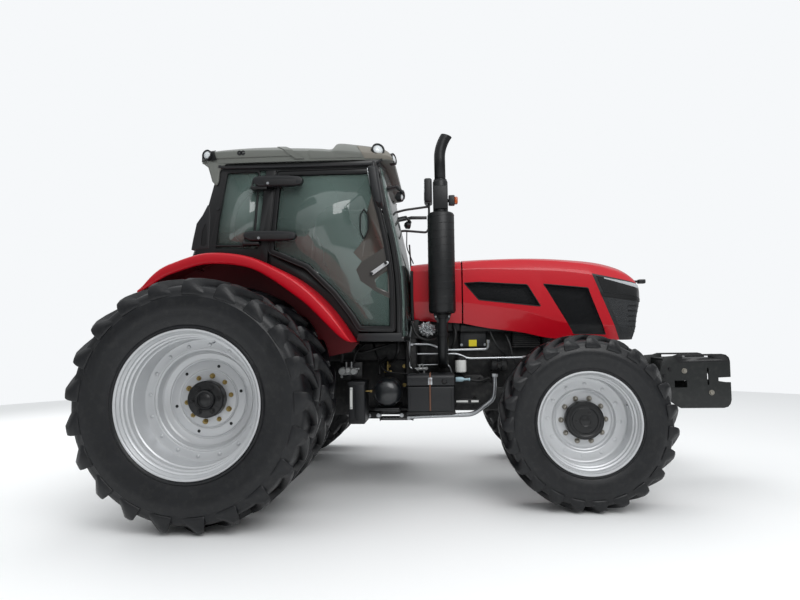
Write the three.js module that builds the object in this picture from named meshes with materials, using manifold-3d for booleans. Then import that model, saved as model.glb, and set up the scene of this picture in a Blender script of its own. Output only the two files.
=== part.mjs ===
// Farm tractor with twin rear wheels, a glazed cab and a tilting bonnet.
// Millimetres. +X points forward, +Y to the tractor's left, +Z up.
// While it is drawn, X = 0 is the rear axle and Z = 0 the ground.
import * as THREE from 'three';
import { mergeVertices } from 'three/addons/utils/BufferGeometryUtils.js';
import { ConvexGeometry } from 'three/addons/geometries/ConvexGeometry.js';
import Module from 'manifold-3d';

const wasm = await Module();
wasm.setup();

// ---------------------------------------------------------------- clearances
const SEAT = 0.3;            // gap between two pieces that touch
const RUN = 6;               // gap round a piece that moves
const PIN_GAP = 0.5;         // gap at a pin, an eye or a turning face

// -------------------------------------------------------------------- wheels
const WHEELBASE = 2781;
const REAR = {
  height: 862, sides: 30, flangeR: 508, seatR: 486, rimHalf: 203,
  tyreHalf: 233, treadHalf: 205, outerY: 1530, innerY: 930,
};
const FRONT = {
  height: 650, sides: 26, flangeR: 381, seatR: 358, rimHalf: 170,
  tyreHalf: 189, treadHalf: 165, centreY: 1003,
};
const RIM_WALL = 12;
const DISC_WALL = 18;
const REAR_DISC_OUT_Y = 1290;     // inner face of the outer disc
const REAR_FLANGE_WALL = 60;      // hub flange between the two discs
const REAR_HOLE_R = 128;
const REAR_HUB_R = 118;
const REAR_SHAFT_R = 55;
const FRONT_DISC_Y = 922;         // inner face of the front disc
const FRONT_HUB_R = 128;
const FRONT_HUB_END = 1016;

// --------------------------------------------------------------- front axle
const KINGPIN_Y = 780;
const KNUCKLE_R = 82;
const KNUCKLE_HALF = 100;
const YOKE_WALL = 28;
const YOKE_HALF = 50;
const STEER_ARM = 240;
const STEER_ARM_Z = 40;           // arm's lower face above the axle
const STEER_ARM_WALL = 25;
const TIE_R = 18;
const AXLE_R = 74;
const DIFF_R = 145;
const PIVOT_HALF = 120;

// ---------------------------------------------------------------- drive line
const GEARCASE = { x0: -330, x1: 1500, half: 190, z0: 600, z1: 1090 };
const AXLECASE = { x0: -480, x1: 330, half: 270, z0: 560, z1: 1170 };
const TRUMPET_R = 115;
const TRUMPET_END = 640;
const ENGINE = { x0: 1500, x1: 2560, half: 240, z0: 760, z1: 1340 };
const RADIATOR = { x0: 2700, x1: 2920, half: 320, z1: 1760 };
const FRAME = { x1: 3720, half: 230, z0: 830, z1: 950 };
const DRIVESHAFT_R = 38;

// -------------------------------------------------------------- front bracket
const BRACKET = { x0: 3600, x1: 4203, half: 260, plate: 20, z0: 650, z1: 1120 };

// -------------------------------------------------------------------- bonnet
const PANEL = 8;
const SEAM_X = 1898;
const SEAM_GAP = 10;
const HOOD_PIN = { x: 1840, z: 1962, y: 150, r: 8, wall: 12 };
const COWL_X0 = 1452;
const HOOD_HALF = 450;
// place along X, crown height, shoulder height, lower edge, half width
const HOOD_SECTIONS = [
  [SEAM_X + SEAM_GAP / 2, 2000, 1938, 1414, HOOD_HALF],
  [2114, 2010, 1955, 1378, HOOD_HALF],
  [2470, 2016, 1962, 1318, HOOD_HALF],
  [2780, 1998, 1930, 1290, HOOD_HALF],
  [3000, 1972, 1900, 1276, HOOD_HALF],
  [3180, 1945, 1864, 1262, HOOD_HALF],
  [3300, 1900, 1790, 1256, HOOD_HALF - 6],
  [3370, 1812, 1640, 1256, HOOD_HALF - 22],
  [3450, 1680, 1530, 1262, HOOD_HALF - 80],
  [3526, 1575, 1500, 1300, HOOD_HALF - 220],
];
const COWL_SECTIONS = [
  [COWL_X0, 1963, 1900, 1430, HOOD_HALF],
  [SEAM_X - SEAM_GAP / 2, 1999, 1937, 1414, HOOD_HALF],
];
const NOSE_TOP_X = 3003;
const NOSE_TOP_Z = 1819;
const NOSE_LOW_X = 3229;
const NOSE_LOW_Z = 1258;

// ----------------------------------------------------------------------- cab
const CAB_HALF = 820;             // outer face of the side windows' frames
const PILLAR_WALL = 60;
const TUB_HALF = CAB_HALF - 165;  // lower body between the rear wheels
const FLOOR_Z = 1262;
const FLOOR_WALL = 38;
const TUB_TOP_Z = 2000;
const SEAT_Z = 1640;             // top of the seat's pedestal
const CUSHION_Z = 1780;
const HEADER_Z = 2695;
const HEADER_WALL = 60;
const ROOF_HALF = CAB_HALF + 40;
const DOOR_WALL = 40;
const DOOR_RAIL = 46;
const GLASS = 6;
const WINDSCREEN_BULGE = 45;
// front pillar: x, z down its rear edge, and the same levels down its front edge
const PILLAR_REAR = [
  [1180, HEADER_Z], [1219, 2430], [1258, 2280], [1298, 2100], [1324, 1940], [1343, 1780],
  [1351, 1590], [1351, 1300],
];
const PILLAR_FRONT = [1228, 1270, 1302, 1342, 1370, 1389, 1397, 1397].map(
  (x, i) => [x, PILLAR_REAR[i][1]]);
const A_PILLAR = [...PILLAR_REAR, ...[...PILLAR_FRONT].reverse()];
// door outline: x, z, from the upper rear corner round by the front
const DOOR = [
  [370, HEADER_Z - 10], [1170, HEADER_Z - 10],
  ...PILLAR_REAR.slice(1, -1).map(([x, z]) => [x - 11, z]),
  [PILLAR_REAR[PILLAR_REAR.length - 1][0] - 11, 1342], [1040, 1350],
  [972, 1465], [830, 1650], [610, 1866], [300, 2000],
];
const WHEEL = { x: 1010, z: 2080, r: 200, grip: 15, tilt: 0.48, hub: 70 };
const B_PILLAR = [
  [281, HEADER_Z], [362, HEADER_Z], [292, 2000], [286, 1900], [192, 1900],
];
const C_PILLAR = [
  [-132, HEADER_Z], [-44, HEADER_Z], [-120, 2280], [-165, 1900], [-350, 1900],
];
const SILL = [[-250, 1880], [250, 1880], [250, 2035], [-160, 2050]];
const HINGE_TOP = [187, HEADER_Z - 75];
const HINGE_LOW = [121, 2160];
const HINGE_Y = 868;
const POD_HALF = 32;
const POD_HEIGHT = 135;
const POD_LENGTH = 437;
const HINGE_PIN_R = 8;

// ------------------------------------------------------------------- fenders
const FENDER_OUT = 1160;
const FENDER_WALL = 8;
const FENDER_ARC = [
  [-640, 1686], [-538, 1800], [-379, 1899], [-102, 1975], [252, 1932],
  [564, 1779], [794, 1584], [946, 1393], [1029, 1263],
];
const FENDER_LIP = [
  [-640, 1660], [-538, 1714], [-379, 1803], [-102, 1877], [252, 1839],
  [563, 1649], [794, 1448], [923, 1317], [985, 1263],
];

// ------------------------------------------------------------------- exhaust
const STACK = { x: 1722, y: -622, canR: 115, z0: 1490, z1: 2340 };
const SLEEVE_R = 64;
const SLEEVE_Z = 2620;
const PIPE_R = 50;
const PIPE_BORE = 43;

// ---------------------------------------------------------------- rear hitch
const LIFT = { x: -440, shaftR: 40, arm: 340, armY: 300, wall: 34, rise: 50 };
const LINK = { x: -300, z: 500, length: 900, at: 470, drop: 40 };
const LINK_WALL = 30;
const ROD_R = 14;
const PIN_R = 12;
const ROD_Y = LIFT.armY + LIFT.wall / 2 + RUN + ROD_R;
const LINK_Y = ROD_Y + ROD_R + RUN + LINK_WALL / 2;

// ------------------------------------------------------------------- colours
const RED = 0xc01426;
const finish = {
  redPaint: [RED, 0.3, 0.1],
  greyPaint: [0x8a8d88, 0.5, 0.1],
  blackPlastic: [0x25272b, 0.6, 0.0],
  blackSteel: [0x1d1e20, 0.5, 0.4],
  castIron: [0x2a2b2d, 0.6, 0.5],
  silverRim: [0xc4c6c8, 0.4, 0.6],
  rubber: [0x1b1c1e, 0.85, 0.0],
  glass: [0x6f8784, 0.05, 0.0],
  seatCloth: [0x2b2d31, 0.9, 0.0],
  radiator: [0x303234, 0.6, 0.6],
};

const tractor = new THREE.Group();

function add(name, geometry, kind) {
  const [color, roughness, metalness] = finish[kind];
  const material = new THREE.MeshStandardMaterial({ color, roughness, metalness });
  if (kind === 'glass') {
    material.transparent = true;
    material.opacity = 0.35;
  }
  const mesh = new THREE.Mesh(geometry, material);
  mesh.name = name;
  tractor.add(mesh);
  return mesh;
}

// -------------------------------------------------------------- solid helpers
function bare(geometry) {
  const plain = new THREE.BufferGeometry();
  plain.setAttribute('position', geometry.getAttribute('position').clone());
  if (geometry.index) plain.setIndex(geometry.index.clone());
  const merged = mergeVertices(plain, 1e-3);
  const index = merged.index.array;
  const kept = [];
  for (let i = 0; i < index.length; i += 3) {
    const [a, b, c] = [index[i], index[i + 1], index[i + 2]];
    if (a !== b && b !== c && c !== a) kept.push(a, b, c);
  }
  merged.setIndex(kept);
  return merged;
}

function volume(geometry) {
  const p = geometry.getAttribute('position');
  const t = geometry.index.array;
  const [a, b, c] = [new THREE.Vector3(), new THREE.Vector3(), new THREE.Vector3()];
  let sum = 0;
  for (let i = 0; i < t.length; i += 3) {
    a.fromBufferAttribute(p, t[i]);
    b.fromBufferAttribute(p, t[i + 1]);
    c.fromBufferAttribute(p, t[i + 2]);
    sum += a.dot(b.cross(c)) / 6;
  }
  return sum;
}

function closed(geometry) {
  const merged = bare(geometry);
  if (volume(merged) < 0) {
    const t = merged.index.array;
    for (let i = 0; i < t.length; i += 3) [t[i], t[i + 1]] = [t[i + 1], t[i]];
  }
  return merged;
}

function solid(geometry) {
  const merged = closed(geometry);
  return new wasm.Manifold(new wasm.Mesh({
    numProp: 3,
    vertProperties: Float32Array.from(merged.getAttribute('position').array),
    triVerts: Uint32Array.from(merged.index.array),
  }));
}

function join(...geometries) {
  return geometries.map(solid).reduce((all, next) => all.add(next));
}

function cut(base, ...geometries) {
  return geometries.map(solid).reduce((all, next) => all.subtract(next), base);
}

function shape(body) {
  const mesh = body.getMesh();
  const geometry = new THREE.BufferGeometry();
  const places = new THREE.BufferAttribute(new Float32Array(mesh.vertProperties), 3);
  geometry.setAttribute('position', places);
  geometry.setIndex(Array.from(mesh.triVerts));
  geometry.computeVertexNormals();
  return geometry;
}

// --------------------------------------------------------------- basic shapes
function outline(points) {
  return new THREE.Shape(points.map(([u, v]) => new THREE.Vector2(u, v)));
}

function block(x0, x1, y0, y1, z0, z1) {
  const geometry = new THREE.BoxGeometry(x1 - x0, Math.abs(y1 - y0), z1 - z0);
  return geometry.translate((x0 + x1) / 2, (y0 + y1) / 2, (z0 + z1) / 2);
}

// outline in X and Z, thick along Y
function slabY(points, y0, y1) {
  const [low, high] = [Math.min(y0, y1), Math.max(y0, y1)];
  const settings = { depth: high - low, bevelEnabled: false };
  const geometry = new THREE.ExtrudeGeometry(outline(points), settings);
  return geometry.rotateX(Math.PI / 2).translate(0, high, 0);
}

// outline in Y and Z, thick along X
function slabX(points, x0, x1) {
  const settings = { depth: x1 - x0, bevelEnabled: false };
  const geometry = new THREE.ExtrudeGeometry(outline(points), settings);
  const turn = new THREE.Matrix4().makeBasis(
    new THREE.Vector3(0, 1, 0), new THREE.Vector3(0, 0, 1), new THREE.Vector3(1, 0, 0));
  return geometry.applyMatrix4(turn).translate(x0, 0, 0);
}

// outline in X and Y, thick along Z
function slabZ(points, z0, z1) {
  const settings = { depth: z1 - z0, bevelEnabled: false };
  return new THREE.ExtrudeGeometry(outline(points), settings).translate(0, 0, z0);
}

function rod(from, to, r0, r1 = r0, sides = 12) {
  const start = new THREE.Vector3(...from);
  const along = new THREE.Vector3(...to).sub(start);
  const geometry = new THREE.CylinderGeometry(r1, r0, along.length(), sides);
  const turn = new THREE.Quaternion().setFromUnitVectors(
    new THREE.Vector3(0, 1, 0), along.clone().normalize());
  geometry.applyQuaternion(turn);
  const middle = start.addScaledVector(along, 0.5);
  return geometry.translate(middle.x, middle.y, middle.z);
}

// turned piece about a line along Y; flats face the ground
function turnedY(profile, x, z, sides) {
  const points = profile.map(([r, y]) => new THREE.Vector2(r, y));
  const geometry = new THREE.LatheGeometry(points, sides, Math.PI / sides);
  return geometry.translate(x, 0, z);
}

function turnedZ(profile, x, y, sides) {
  const points = profile.map(([r, z]) => new THREE.Vector2(r, z));
  const geometry = new THREE.LatheGeometry(points, sides);
  return geometry.rotateX(Math.PI / 2).translate(x, y, 0);
}

function pipe(points, radius, steps, sides = 12) {
  const path = new THREE.CatmullRomCurve3(
    points.map((p) => new THREE.Vector3(...p)), false, 'centripetal');
  const ring = [];
  for (let i = 0; i < sides; i += 1) {
    const a = (2 * Math.PI * i) / sides;
    ring.push([radius * Math.cos(a), radius * Math.sin(a)]);
  }
  const settings = { steps, extrudePath: path, bevelEnabled: false };
  return new THREE.ExtrudeGeometry(outline(ring), settings);
}

function mirrored(profile) {
  return profile.map(([r, y]) => [r, -y]);
}

// ------------------------------------------------------------------- wheels
function tyreProfile(w, centre) {
  const tread = w.height / Math.cos(Math.PI / w.sides);
  const bead = w.rimHalf - 20;
  const half = [
    [w.seatR + SEAT, bead],
    [w.flangeR + 5, w.rimHalf - 6],
    [(w.flangeR + tread) / 2, w.tyreHalf],
    [tread - 70, w.tyreHalf - 4],
    [tread, w.treadHalf],
  ];
  const other = half.map(([r, y]) => [r, -y]).reverse();
  const ring = [...half, ...other].map(([r, y]) => [r, y + centre]);
  return [...ring, ring[0]];
}

// barrel with a disc that starts at discFrom and ends flat at discY
function rimProfile(w, centre, discY, holeR, flatR, near) {
  const [y0, y1] = [centre - w.rimHalf, centre + w.rimHalf];
  const inner = w.seatR - RIM_WALL;
  const barrel = [
    [inner, y1], [w.flangeR, y1], [w.seatR, y1 - 18],
    [w.seatR, y0 + 18], [w.flangeR, y0], [inner, y0],
  ];
  const [a, b] = near < 0 ? [y0 + 30, y0 + 75] : [y1 - 75, y1 - 30];
  const disc = [
    [inner, a], [flatR, discY], [holeR, discY],
    [holeR, discY + DISC_WALL], [flatR, discY + DISC_WALL], [inner, b],
  ];
  const ring = [...barrel, ...disc];
  return [...ring, ring[0]];
}

function rearWheel(side, tag) {
  const flip = side < 0 ? mirrored : (p) => p;
  const w = REAR;
  const turn = (p) => closed(turnedY(flip(p), 0, w.height, w.sides));
  add(`rear_tyre_outer_${tag}`, turn(tyreProfile(w, w.outerY)), 'rubber');
  add(`rear_tyre_inner_${tag}`, turn(tyreProfile(w, w.innerY)), 'rubber');
  const out = rimProfile(w, w.outerY, REAR_DISC_OUT_Y, REAR_HOLE_R, 330, -1);
  add(`rear_rim_outer_${tag}`, turn(out), 'silverRim');
  const flange1 = REAR_DISC_OUT_Y - SEAT;
  const flange0 = flange1 - REAR_FLANGE_WALL;
  const innerDisc = flange0 - SEAT - DISC_WALL;
  const inn = rimProfile(w, w.innerY, innerDisc, REAR_HOLE_R, 330, 1);
  add(`rear_rim_inner_${tag}`, turn(inn), 'silverRim');
  const face = REAR_DISC_OUT_Y + DISC_WALL;
  const start = TRUMPET_END + PIN_GAP;
  const hub = [
    [0, start], [REAR_SHAFT_R, start], [REAR_SHAFT_R, flange0 - 90], [REAR_HUB_R, flange0 - 60],
    [REAR_HUB_R, flange0], [230, flange0], [230, flange1], [REAR_HUB_R, flange1],
    [REAR_HUB_R, face + 40], [70, face + 66], [52, face + 92], [0, face + 96],
  ];
  add(`rear_hub_${tag}`, closed(turnedY(flip(hub), 0, w.height, 18)), 'castIron');
}

function frontWheel(side, tag) {
  const flip = side < 0 ? mirrored : (p) => p;
  const w = FRONT;
  const turn = (p) => closed(turnedY(flip(p), WHEELBASE, w.height, w.sides));
  add(`front_tyre_${tag}`, turn(tyreProfile(w, w.centreY)), 'rubber');
  const [y0, y1] = [w.centreY - w.rimHalf, w.centreY + w.rimHalf];
  const inner = w.seatR - RIM_WALL;
  const disc = FRONT_DISC_Y;
  const wheel = [
    [inner, y1], [w.flangeR, y1], [w.seatR, y1 - 18],
    [w.seatR, y0 + 18], [w.flangeR, y0], [inner, y0],
    [inner, disc - 10], [250, disc], [FRONT_HUB_R, disc],
    [FRONT_HUB_R - 12, disc - 20], [0, disc - 20], [0, FRONT_HUB_END],
    [FRONT_HUB_R - 30, FRONT_HUB_END], [FRONT_HUB_R, FRONT_HUB_END - 26],
    [FRONT_HUB_R, disc + DISC_WALL], [250, disc + DISC_WALL], [inner, disc + 30],
  ];
  add(`front_rim_${tag}`, turn([...wheel, wheel[0]]), 'silverRim');
}

// --------------------------------------------------------------- front axle
function frontAxle() {
  const z = FRONT.height;
  const end = KINGPIN_Y - KNUCKLE_R - 18;
  const arm = KNUCKLE_HALF + RUN;
  const parts = [
    rod([WHEELBASE, 15 - end, z], [WHEELBASE, end - 15, z], AXLE_R, AXLE_R, 14),
    rod([WHEELBASE, -170, z], [WHEELBASE, 170, z], DIFF_R, DIFF_R, 16),
    block(WHEELBASE - PIVOT_HALF, WHEELBASE + PIVOT_HALF, -70, 70, z + 60, FRAME.z0 - SEAT),
    rod([WHEELBASE - DIFF_R - 20, 0, z], [WHEELBASE, 0, z], 60, 60, 12),
  ];
  const [top, low] = [z + arm + YOKE_WALL, z - arm - YOKE_WALL];
  for (const side of [-1, 1]) {
    const [a, b, tip] = [end - YOKE_WALL, end, KINGPIN_Y + 30].map((y) => side * y);
    parts.push(slabX([
      [a, low], [tip, low], [tip, z - arm], [b, z - arm], [b, z + arm], [tip, z + arm],
      [tip, top], [a, top],
    ], WHEELBASE - YOKE_HALF, WHEELBASE + YOKE_HALF));
  }
  add('front_axle_beam', shape(join(...parts)), 'castIron');
}

function knuckle(side, tag) {
  const z = FRONT.height;
  const y = side * KINGPIN_Y;
  const face = side * (FRONT_DISC_Y - 20 - PIN_GAP);
  const armZ = z + STEER_ARM_Z;
  const back = WHEELBASE - STEER_ARM;
  const parts = [
    rod([WHEELBASE, y, z - KNUCKLE_HALF], [WHEELBASE, y, z + KNUCKLE_HALF],
      KNUCKLE_R, KNUCKLE_R, 16),
    rod([WHEELBASE, y, z], [WHEELBASE, face, z], 78, 100, 16),
    rod([WHEELBASE, y, z + KNUCKLE_HALF - 1], [WHEELBASE, y, z + KNUCKLE_HALF + RUN - 0.5],
      22, 22, 12),
    rod([WHEELBASE, y, z - KNUCKLE_HALF - RUN + 0.5], [WHEELBASE, y, z - KNUCKLE_HALF + 1],
      22, 22, 12),
    block(back, WHEELBASE - 40, y - 30, y + 30, armZ, armZ + STEER_ARM_WALL),
    rod([back, y, armZ], [back, y, armZ + STEER_ARM_WALL], 30, 30, 12),
  ];
  add(`knuckle_${tag}`, shape(join(...parts)), 'castIron');
}

function tieRod() {
  const z0 = FRONT.height + STEER_ARM_Z + STEER_ARM_WALL + 0.5;
  const x = WHEELBASE - STEER_ARM;
  const mid = z0 + 22;
  add('tie_rod', shape(join(
    rod([x, -KINGPIN_Y, mid], [x, KINGPIN_Y, mid], TIE_R, TIE_R, 10),
    rod([x, -KINGPIN_Y, z0], [x, -KINGPIN_Y, z0 + 44], 28, 28, 12),
    rod([x, KINGPIN_Y, z0], [x, KINGPIN_Y, z0 + 44], 28, 28, 12),
  )), 'blackSteel');
}

// ---------------------------------------------------------------- drive line
function driveLine() {
  const g = GEARCASE;
  const a = AXLECASE;
  const z = REAR.height;
  const mounts = [];
  for (const x of [-120, 1180]) {
    for (const y of [-150, 150]) {
      mounts.push(block(x - 50, x + 50, y - 40, y + 40, g.z1 - 60, FLOOR_Z - SEAT));
    }
  }
  add('transmission_housing', shape(join(
    block(a.x0, a.x1, -a.half, a.half, a.z0, a.z1),
    block(g.x0, g.x1 - SEAT, -g.half, g.half, g.z0, g.z1),
    rod([0, -TRUMPET_END, z], [0, TRUMPET_END, z], TRUMPET_R, TRUMPET_R, 16),
    rod([0, -400, z], [0, 400, z], 170, 170, 16),
    rod([a.x0 - 70, 0, 720], [a.x0, 0, 720], 28, 28, 12),
    rod([g.x1 - 40, 0, FRONT.height],
      [WHEELBASE - DIFF_R - 20 - SEAT, 0, FRONT.height], DRIVESHAFT_R, DRIVESHAFT_R, 12),
    ...[-1, 1].map((s) => block(LINK.x - 50, LINK.x + 50, s * (a.half - 5),
      s * (LINK_Y - LINK_WALL / 2 - RUN), LINK.z - 50, LINK.z + 140)),
    ...[-1, 1].map((s) => rod([LINK.x, s * a.half, LINK.z],
      [LINK.x, s * (LINK_Y + LINK_WALL / 2), LINK.z], PIN_R, PIN_R, 12)),
    ...mounts,
  )), 'castIron');
  const e = ENGINE;
  add('engine_block', shape(join(
    block(e.x0, e.x1, -e.half, e.half, e.z0, e.z1),
    block(e.x0, e.x0 + 80, -e.half - 40, e.half + 40, e.z0 - 60, e.z1 - 80),
  )), 'castIron');
  const f = FRAME;
  add('front_frame', shape(join(
    block(e.x1 + SEAT, f.x1, -f.half, f.half, f.z0, f.z1),
    block(e.x1 + SEAT, e.x1 + 60, -f.half, f.half, f.z0, f.z1 + 150),
  )), 'blackSteel');
  const r = RADIATOR;
  add('radiator_pack', block(r.x0, r.x1, -r.half, r.half, f.z1 + SEAT, r.z1), 'radiator');
}

// -------------------------------------------------------------- front bracket
function frontBracket() {
  const b = BRACKET;
  const y = b.half;
  const face = [
    [b.x0, 690], [b.x0 + 170, 650], [b.x1 - 114, b.z0], [b.x1 - 14, 745],
    [b.x1, 790], [b.x1, b.z1 - 30], [b.x1 - 30, b.z1], [b.x0, b.z1],
  ];
  const plates = [-1, 1].map((s) => slabY(face, s * y, s * (y - b.plate)));
  const body = join(
    ...plates,
    block(b.x0, b.x0 + 30, -y, y, 700, b.z1),
    block(b.x0, b.x1 - 60, -y, y, b.z1 - 24, b.z1),
    block(b.x1 - 120, b.x1 - 95, -y, y, b.z0 + 40, b.z1),
  );
  const start = FRAME.x1 + SEAT;
  const room = block(b.x0 - 10, start, -FRAME.half - SEAT, FRAME.half + SEAT,
    FRAME.z0 - SEAT, FRAME.z1 + SEAT);
  add('front_bracket', shape(cut(body, room)), 'blackSteel');
}

// -------------------------------------------------------------------- bonnet
function ring([x, crown, shoulder, low, half], inset = 0, drop = 0) {
  const h = half - inset;
  const c = crown - inset;
  const s = shoulder - inset;
  const flat = Math.min(h * 0.55, 240);
  const pts = [
    [flat, c - 8], [h - 50, s + 20], [h, s - 45], [h, low - drop],
  ];
  const all = [[0, c]];
  for (const [y, z] of pts) all.push([y, z], [-y, z]);
  return all.map(([y, z]) => new THREE.Vector3(x, y, z));
}

function hull(sections, inset, drop) {
  const slices = [];
  for (let i = 0; i + 1 < sections.length; i += 1) {
    const points = [...ring(sections[i], inset, drop), ...ring(sections[i + 1], inset, drop)];
    slices.push(new ConvexGeometry(points));
  }
  return join(...slices);
}

function shell(sections, openFront) {
  const last = sections.length - 1;
  const inner = sections.map((s) => [...s]);
  inner[0][0] -= 20;
  inner[last][0] += openFront ? 20 : -PANEL;
  return hull(sections, 0, 0).subtract(hull(inner, PANEL, 40));
}

function bonnet() {
  const whole = shell(HOOD_SECTIONS, false);
  const lean = (NOSE_LOW_X - NOSE_TOP_X) / (NOSE_TOP_Z - NOSE_LOW_Z);
  const at = (z) => NOSE_TOP_X + (NOSE_TOP_Z - z) * lean;
  const ahead = (gap) => slabY(
    [[at(1100) + gap, 1100], [4000, 1100], [4000, 2200], [at(2200) + gap, 2200]], -600, 600);
  const h = HOOD_PIN;
  const arms = [];
  const ears = [];
  for (const s of [-1, 1]) {
    const [y0, y1] = [s * h.y, s * (h.y + h.wall)];
    arms.push(slabY([
      [h.x + 58, h.z - 92], [h.x + 160, h.z - 92], [h.x + 160, h.z + 33],
      [h.x + 130, h.z + 33], [h.x + 118, h.z - 76], [h.x + 70, h.z - 72],
      [h.x + 14, h.z - 14], [h.x + 8, h.z + 13], [h.x - 8, h.z + 13], [h.x - 15, h.z],
      [h.x - 8, h.z - 15],
    ], y0, y1));
    const [e0, e1] = [s * (h.y - RUN - h.wall), s * (h.y - RUN)];
    ears.push(slabY([
      [h.x - 120, h.z - 80], [h.x + 8, h.z - 80], [h.x + 12, h.z + 8], [h.x - 120, h.z + 14],
    ], e0, e1));
    ears.push(rod([h.x, e0, h.z], [h.x, y1 + s * 4, h.z], h.r, h.r, 12));
  }
  const bores = [-1, 1].map((s) => rod(
    [h.x, s * (h.y - 5), h.z], [h.x, s * (h.y + h.wall + 5), h.z], h.r + 0.8, h.r + 0.8, 12));
  const shellBody = cut(whole, ahead(0)).add(join(...arms)).subtract(join(...bores));
  add('bonnet_shell', shape(shellBody), 'redPaint');
  add('bonnet_nose', shape(whole.intersect(solid(ahead(SEAT)))), 'blackPlastic');
  const wall = ENGINE.z1 + SEAT;
  const half = HOOD_HALF - PANEL / 2;
  const bulkhead = slabX([
    [-half, 1430], [-ENGINE.half, wall], [ENGINE.half, wall], [half, 1430], [half, 1880],
    [half - 60, 1940], [-half + 60, 1940], [-half, 1880],
  ], h.x - 120, h.x - 108);
  const cowl = shell(COWL_SECTIONS, true).add(join(bulkhead, ...ears));
  add('rear_cowl', shape(cowl), 'redPaint');
}

// ------------------------------------------------------------------- exhaust
function exhaust() {
  const { x, y, canR, z0, z1 } = STACK;
  const can = turnedZ([
    [0, z0], [canR - 20, z0], [canR, z0 + 20], [canR, z1 - 8], [canR - 40, z1],
    [SLEEVE_R, z1], [SLEEVE_R, SLEEVE_Z], [PIPE_R, SLEEVE_Z + 2], [0, SLEEVE_Z + 2],
  ], x, y, 20);
  const path = [[x, y, SLEEVE_Z - 10], [x, y, 2800], [x + 4, y, 2890], [x + 30, y, 2965],
    [x + 75, y, 3020]];
  const stack = pipe(path, PIPE_R, 8, 12);
  const bore = pipe([[x + 4, y, 2890], [x + 30, y, 2965], [x + 75, y, 3020],
    [x + 100, y, 3045]], PIPE_BORE, 5, 12);
  const down = pipe([[x, y, z0 + 10], [x, y, 1230], [x, y + 30, 1130], [x, y + 130, 1072],
    [x, -ENGINE.half - 14, 1065]], PIPE_R, 9, 12);
  const flange = rod([x, -ENGINE.half - SEAT, 1065], [x, -ENGINE.half - 24, 1065], 75, 75, 14);
  const clip = block(x + 60, x + 140, y - 100, y + 230, 3031, 3200);
  add('exhaust', shape(cut(join(can, stack, down, flange), bore, clip)), 'blackSteel');
}

// ----------------------------------------------------------------------- cab
function arcUnder(gap) {
  const curve = FENDER_ARC.map(([x, z]) => [x, z + gap]);
  const first = curve[0];
  const last = curve[curve.length - 1];
  return [[first[0], 900], ...curve, [last[0] + gap, last[1]], [last[0] + gap, 900]];
}

// point on the door's leaning hinge line, dz above a hinge's middle
function hingeAt([x, z], side, dz) {
  const lean = (HINGE_TOP[0] - HINGE_LOW[0]) / (HINGE_TOP[1] - HINGE_LOW[1]);
  return [x + lean * dz, side * HINGE_Y, z + dz];
}

function pillars(side, tag) {
  const [y0, y1] = [side * (CAB_HALF - PILLAR_WALL), side * CAB_HALF];
  const foot = slabY(arcUnder(SEAT), side * 500, side * 1300);
  const top = HEADER_Z - SEAT;
  const trim = block(-1000, 2000, -1300, 1300, top, top + 200);
  const floor = block(1040, 2000, -1300, 1300, 900, FLOOR_Z + FLOOR_WALL + SEAT);
  const a = cut(solid(slabY(A_PILLAR, y0, y1)), trim, floor);
  add(`pillar_front_${tag}`, shape(a), 'blackPlastic');
  const lugs = [HINGE_TOP, HINGE_LOW].map(([x, z]) => {
    const low = z - POD_HEIGHT / 2 - RUN - 24;
    return block(x - 20, x + 115, side * (CAB_HALF - 20), side * (HINGE_Y + 18), low, low + 24);
  });
  const sill = slabY(SILL, y0, y1);
  const pins = [HINGE_TOP, HINGE_LOW].map((p) => {
    const from = hingeAt(p, side, -POD_HEIGHT / 2 - RUN - 16);
    return rod(from, hingeAt(p, side, -POD_HEIGHT / 2 + 40), HINGE_PIN_R, HINGE_PIN_R, 12);
  });
  const b = cut(join(slabY(B_PILLAR, y0, y1), slabY(C_PILLAR, y0, y1), sill, ...lugs,
    ...pins), trim, foot);
  add(`side_frame_${tag}`, shape(b), 'blackPlastic');
  const pane = [
    [-44, HEADER_Z], [281, HEADER_Z], [192, 1900], [-165, 1900], [-120, 2280],
  ];
  const glass = cut(solid(slabY(pane, side * (CAB_HALF - 20 - GLASS), side * (CAB_HALF - 20))),
    trim, foot, slabY(B_PILLAR.map(([x, z]) => [x - SEAT, z]), -1300, 1300),
    slabY(C_PILLAR.map(([x, z]) => [x + SEAT, z]), -1300, 1300),
    slabY(SILL.map(([x, z]) => [x, z + SEAT]), -1300, 1300));
  add(`quarter_glass_${tag}`, shape(glass), 'glass');
}

function inset(points, by) {
  const n = points.length;
  const result = [];
  for (let i = 0; i < n; i += 1) {
    const [p, q, r] = [points[(i + n - 1) % n], points[i], points[(i + 1) % n]];
    const e = [q[0] - p[0], q[1] - p[1]];
    const f = [r[0] - q[0], r[1] - q[1]];
    const le = Math.hypot(...e);
    const lf = Math.hypot(...f);
    const a = [e[1] / le, -e[0] / le];
    const b = [f[1] / lf, -f[0] / lf];
    const scale = by / (1 + a[0] * b[0] + a[1] * b[1]);
    result.push([q[0] + (a[0] + b[0]) * scale, q[1] + (a[1] + b[1]) * scale]);
  }
  return result;
}

// hinge pod in plan: a round back over the pin and a blunt nose
function podPlan(x, side) {
  const nose = x + POD_LENGTH - POD_HALF;
  const plan = [
    [nose, HINGE_Y - POD_HALF], [nose, HINGE_Y + POD_HALF - 20],
    [nose - 30, HINGE_Y + POD_HALF],
  ];
  for (let i = 0; i <= 6; i += 1) {
    const a = (Math.PI * i) / 6;
    plan.push([x - POD_HALF * Math.sin(a), HINGE_Y + POD_HALF * Math.cos(a)]);
  }
  return plan.map(([px, py]) => [px, side * py]);
}

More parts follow.
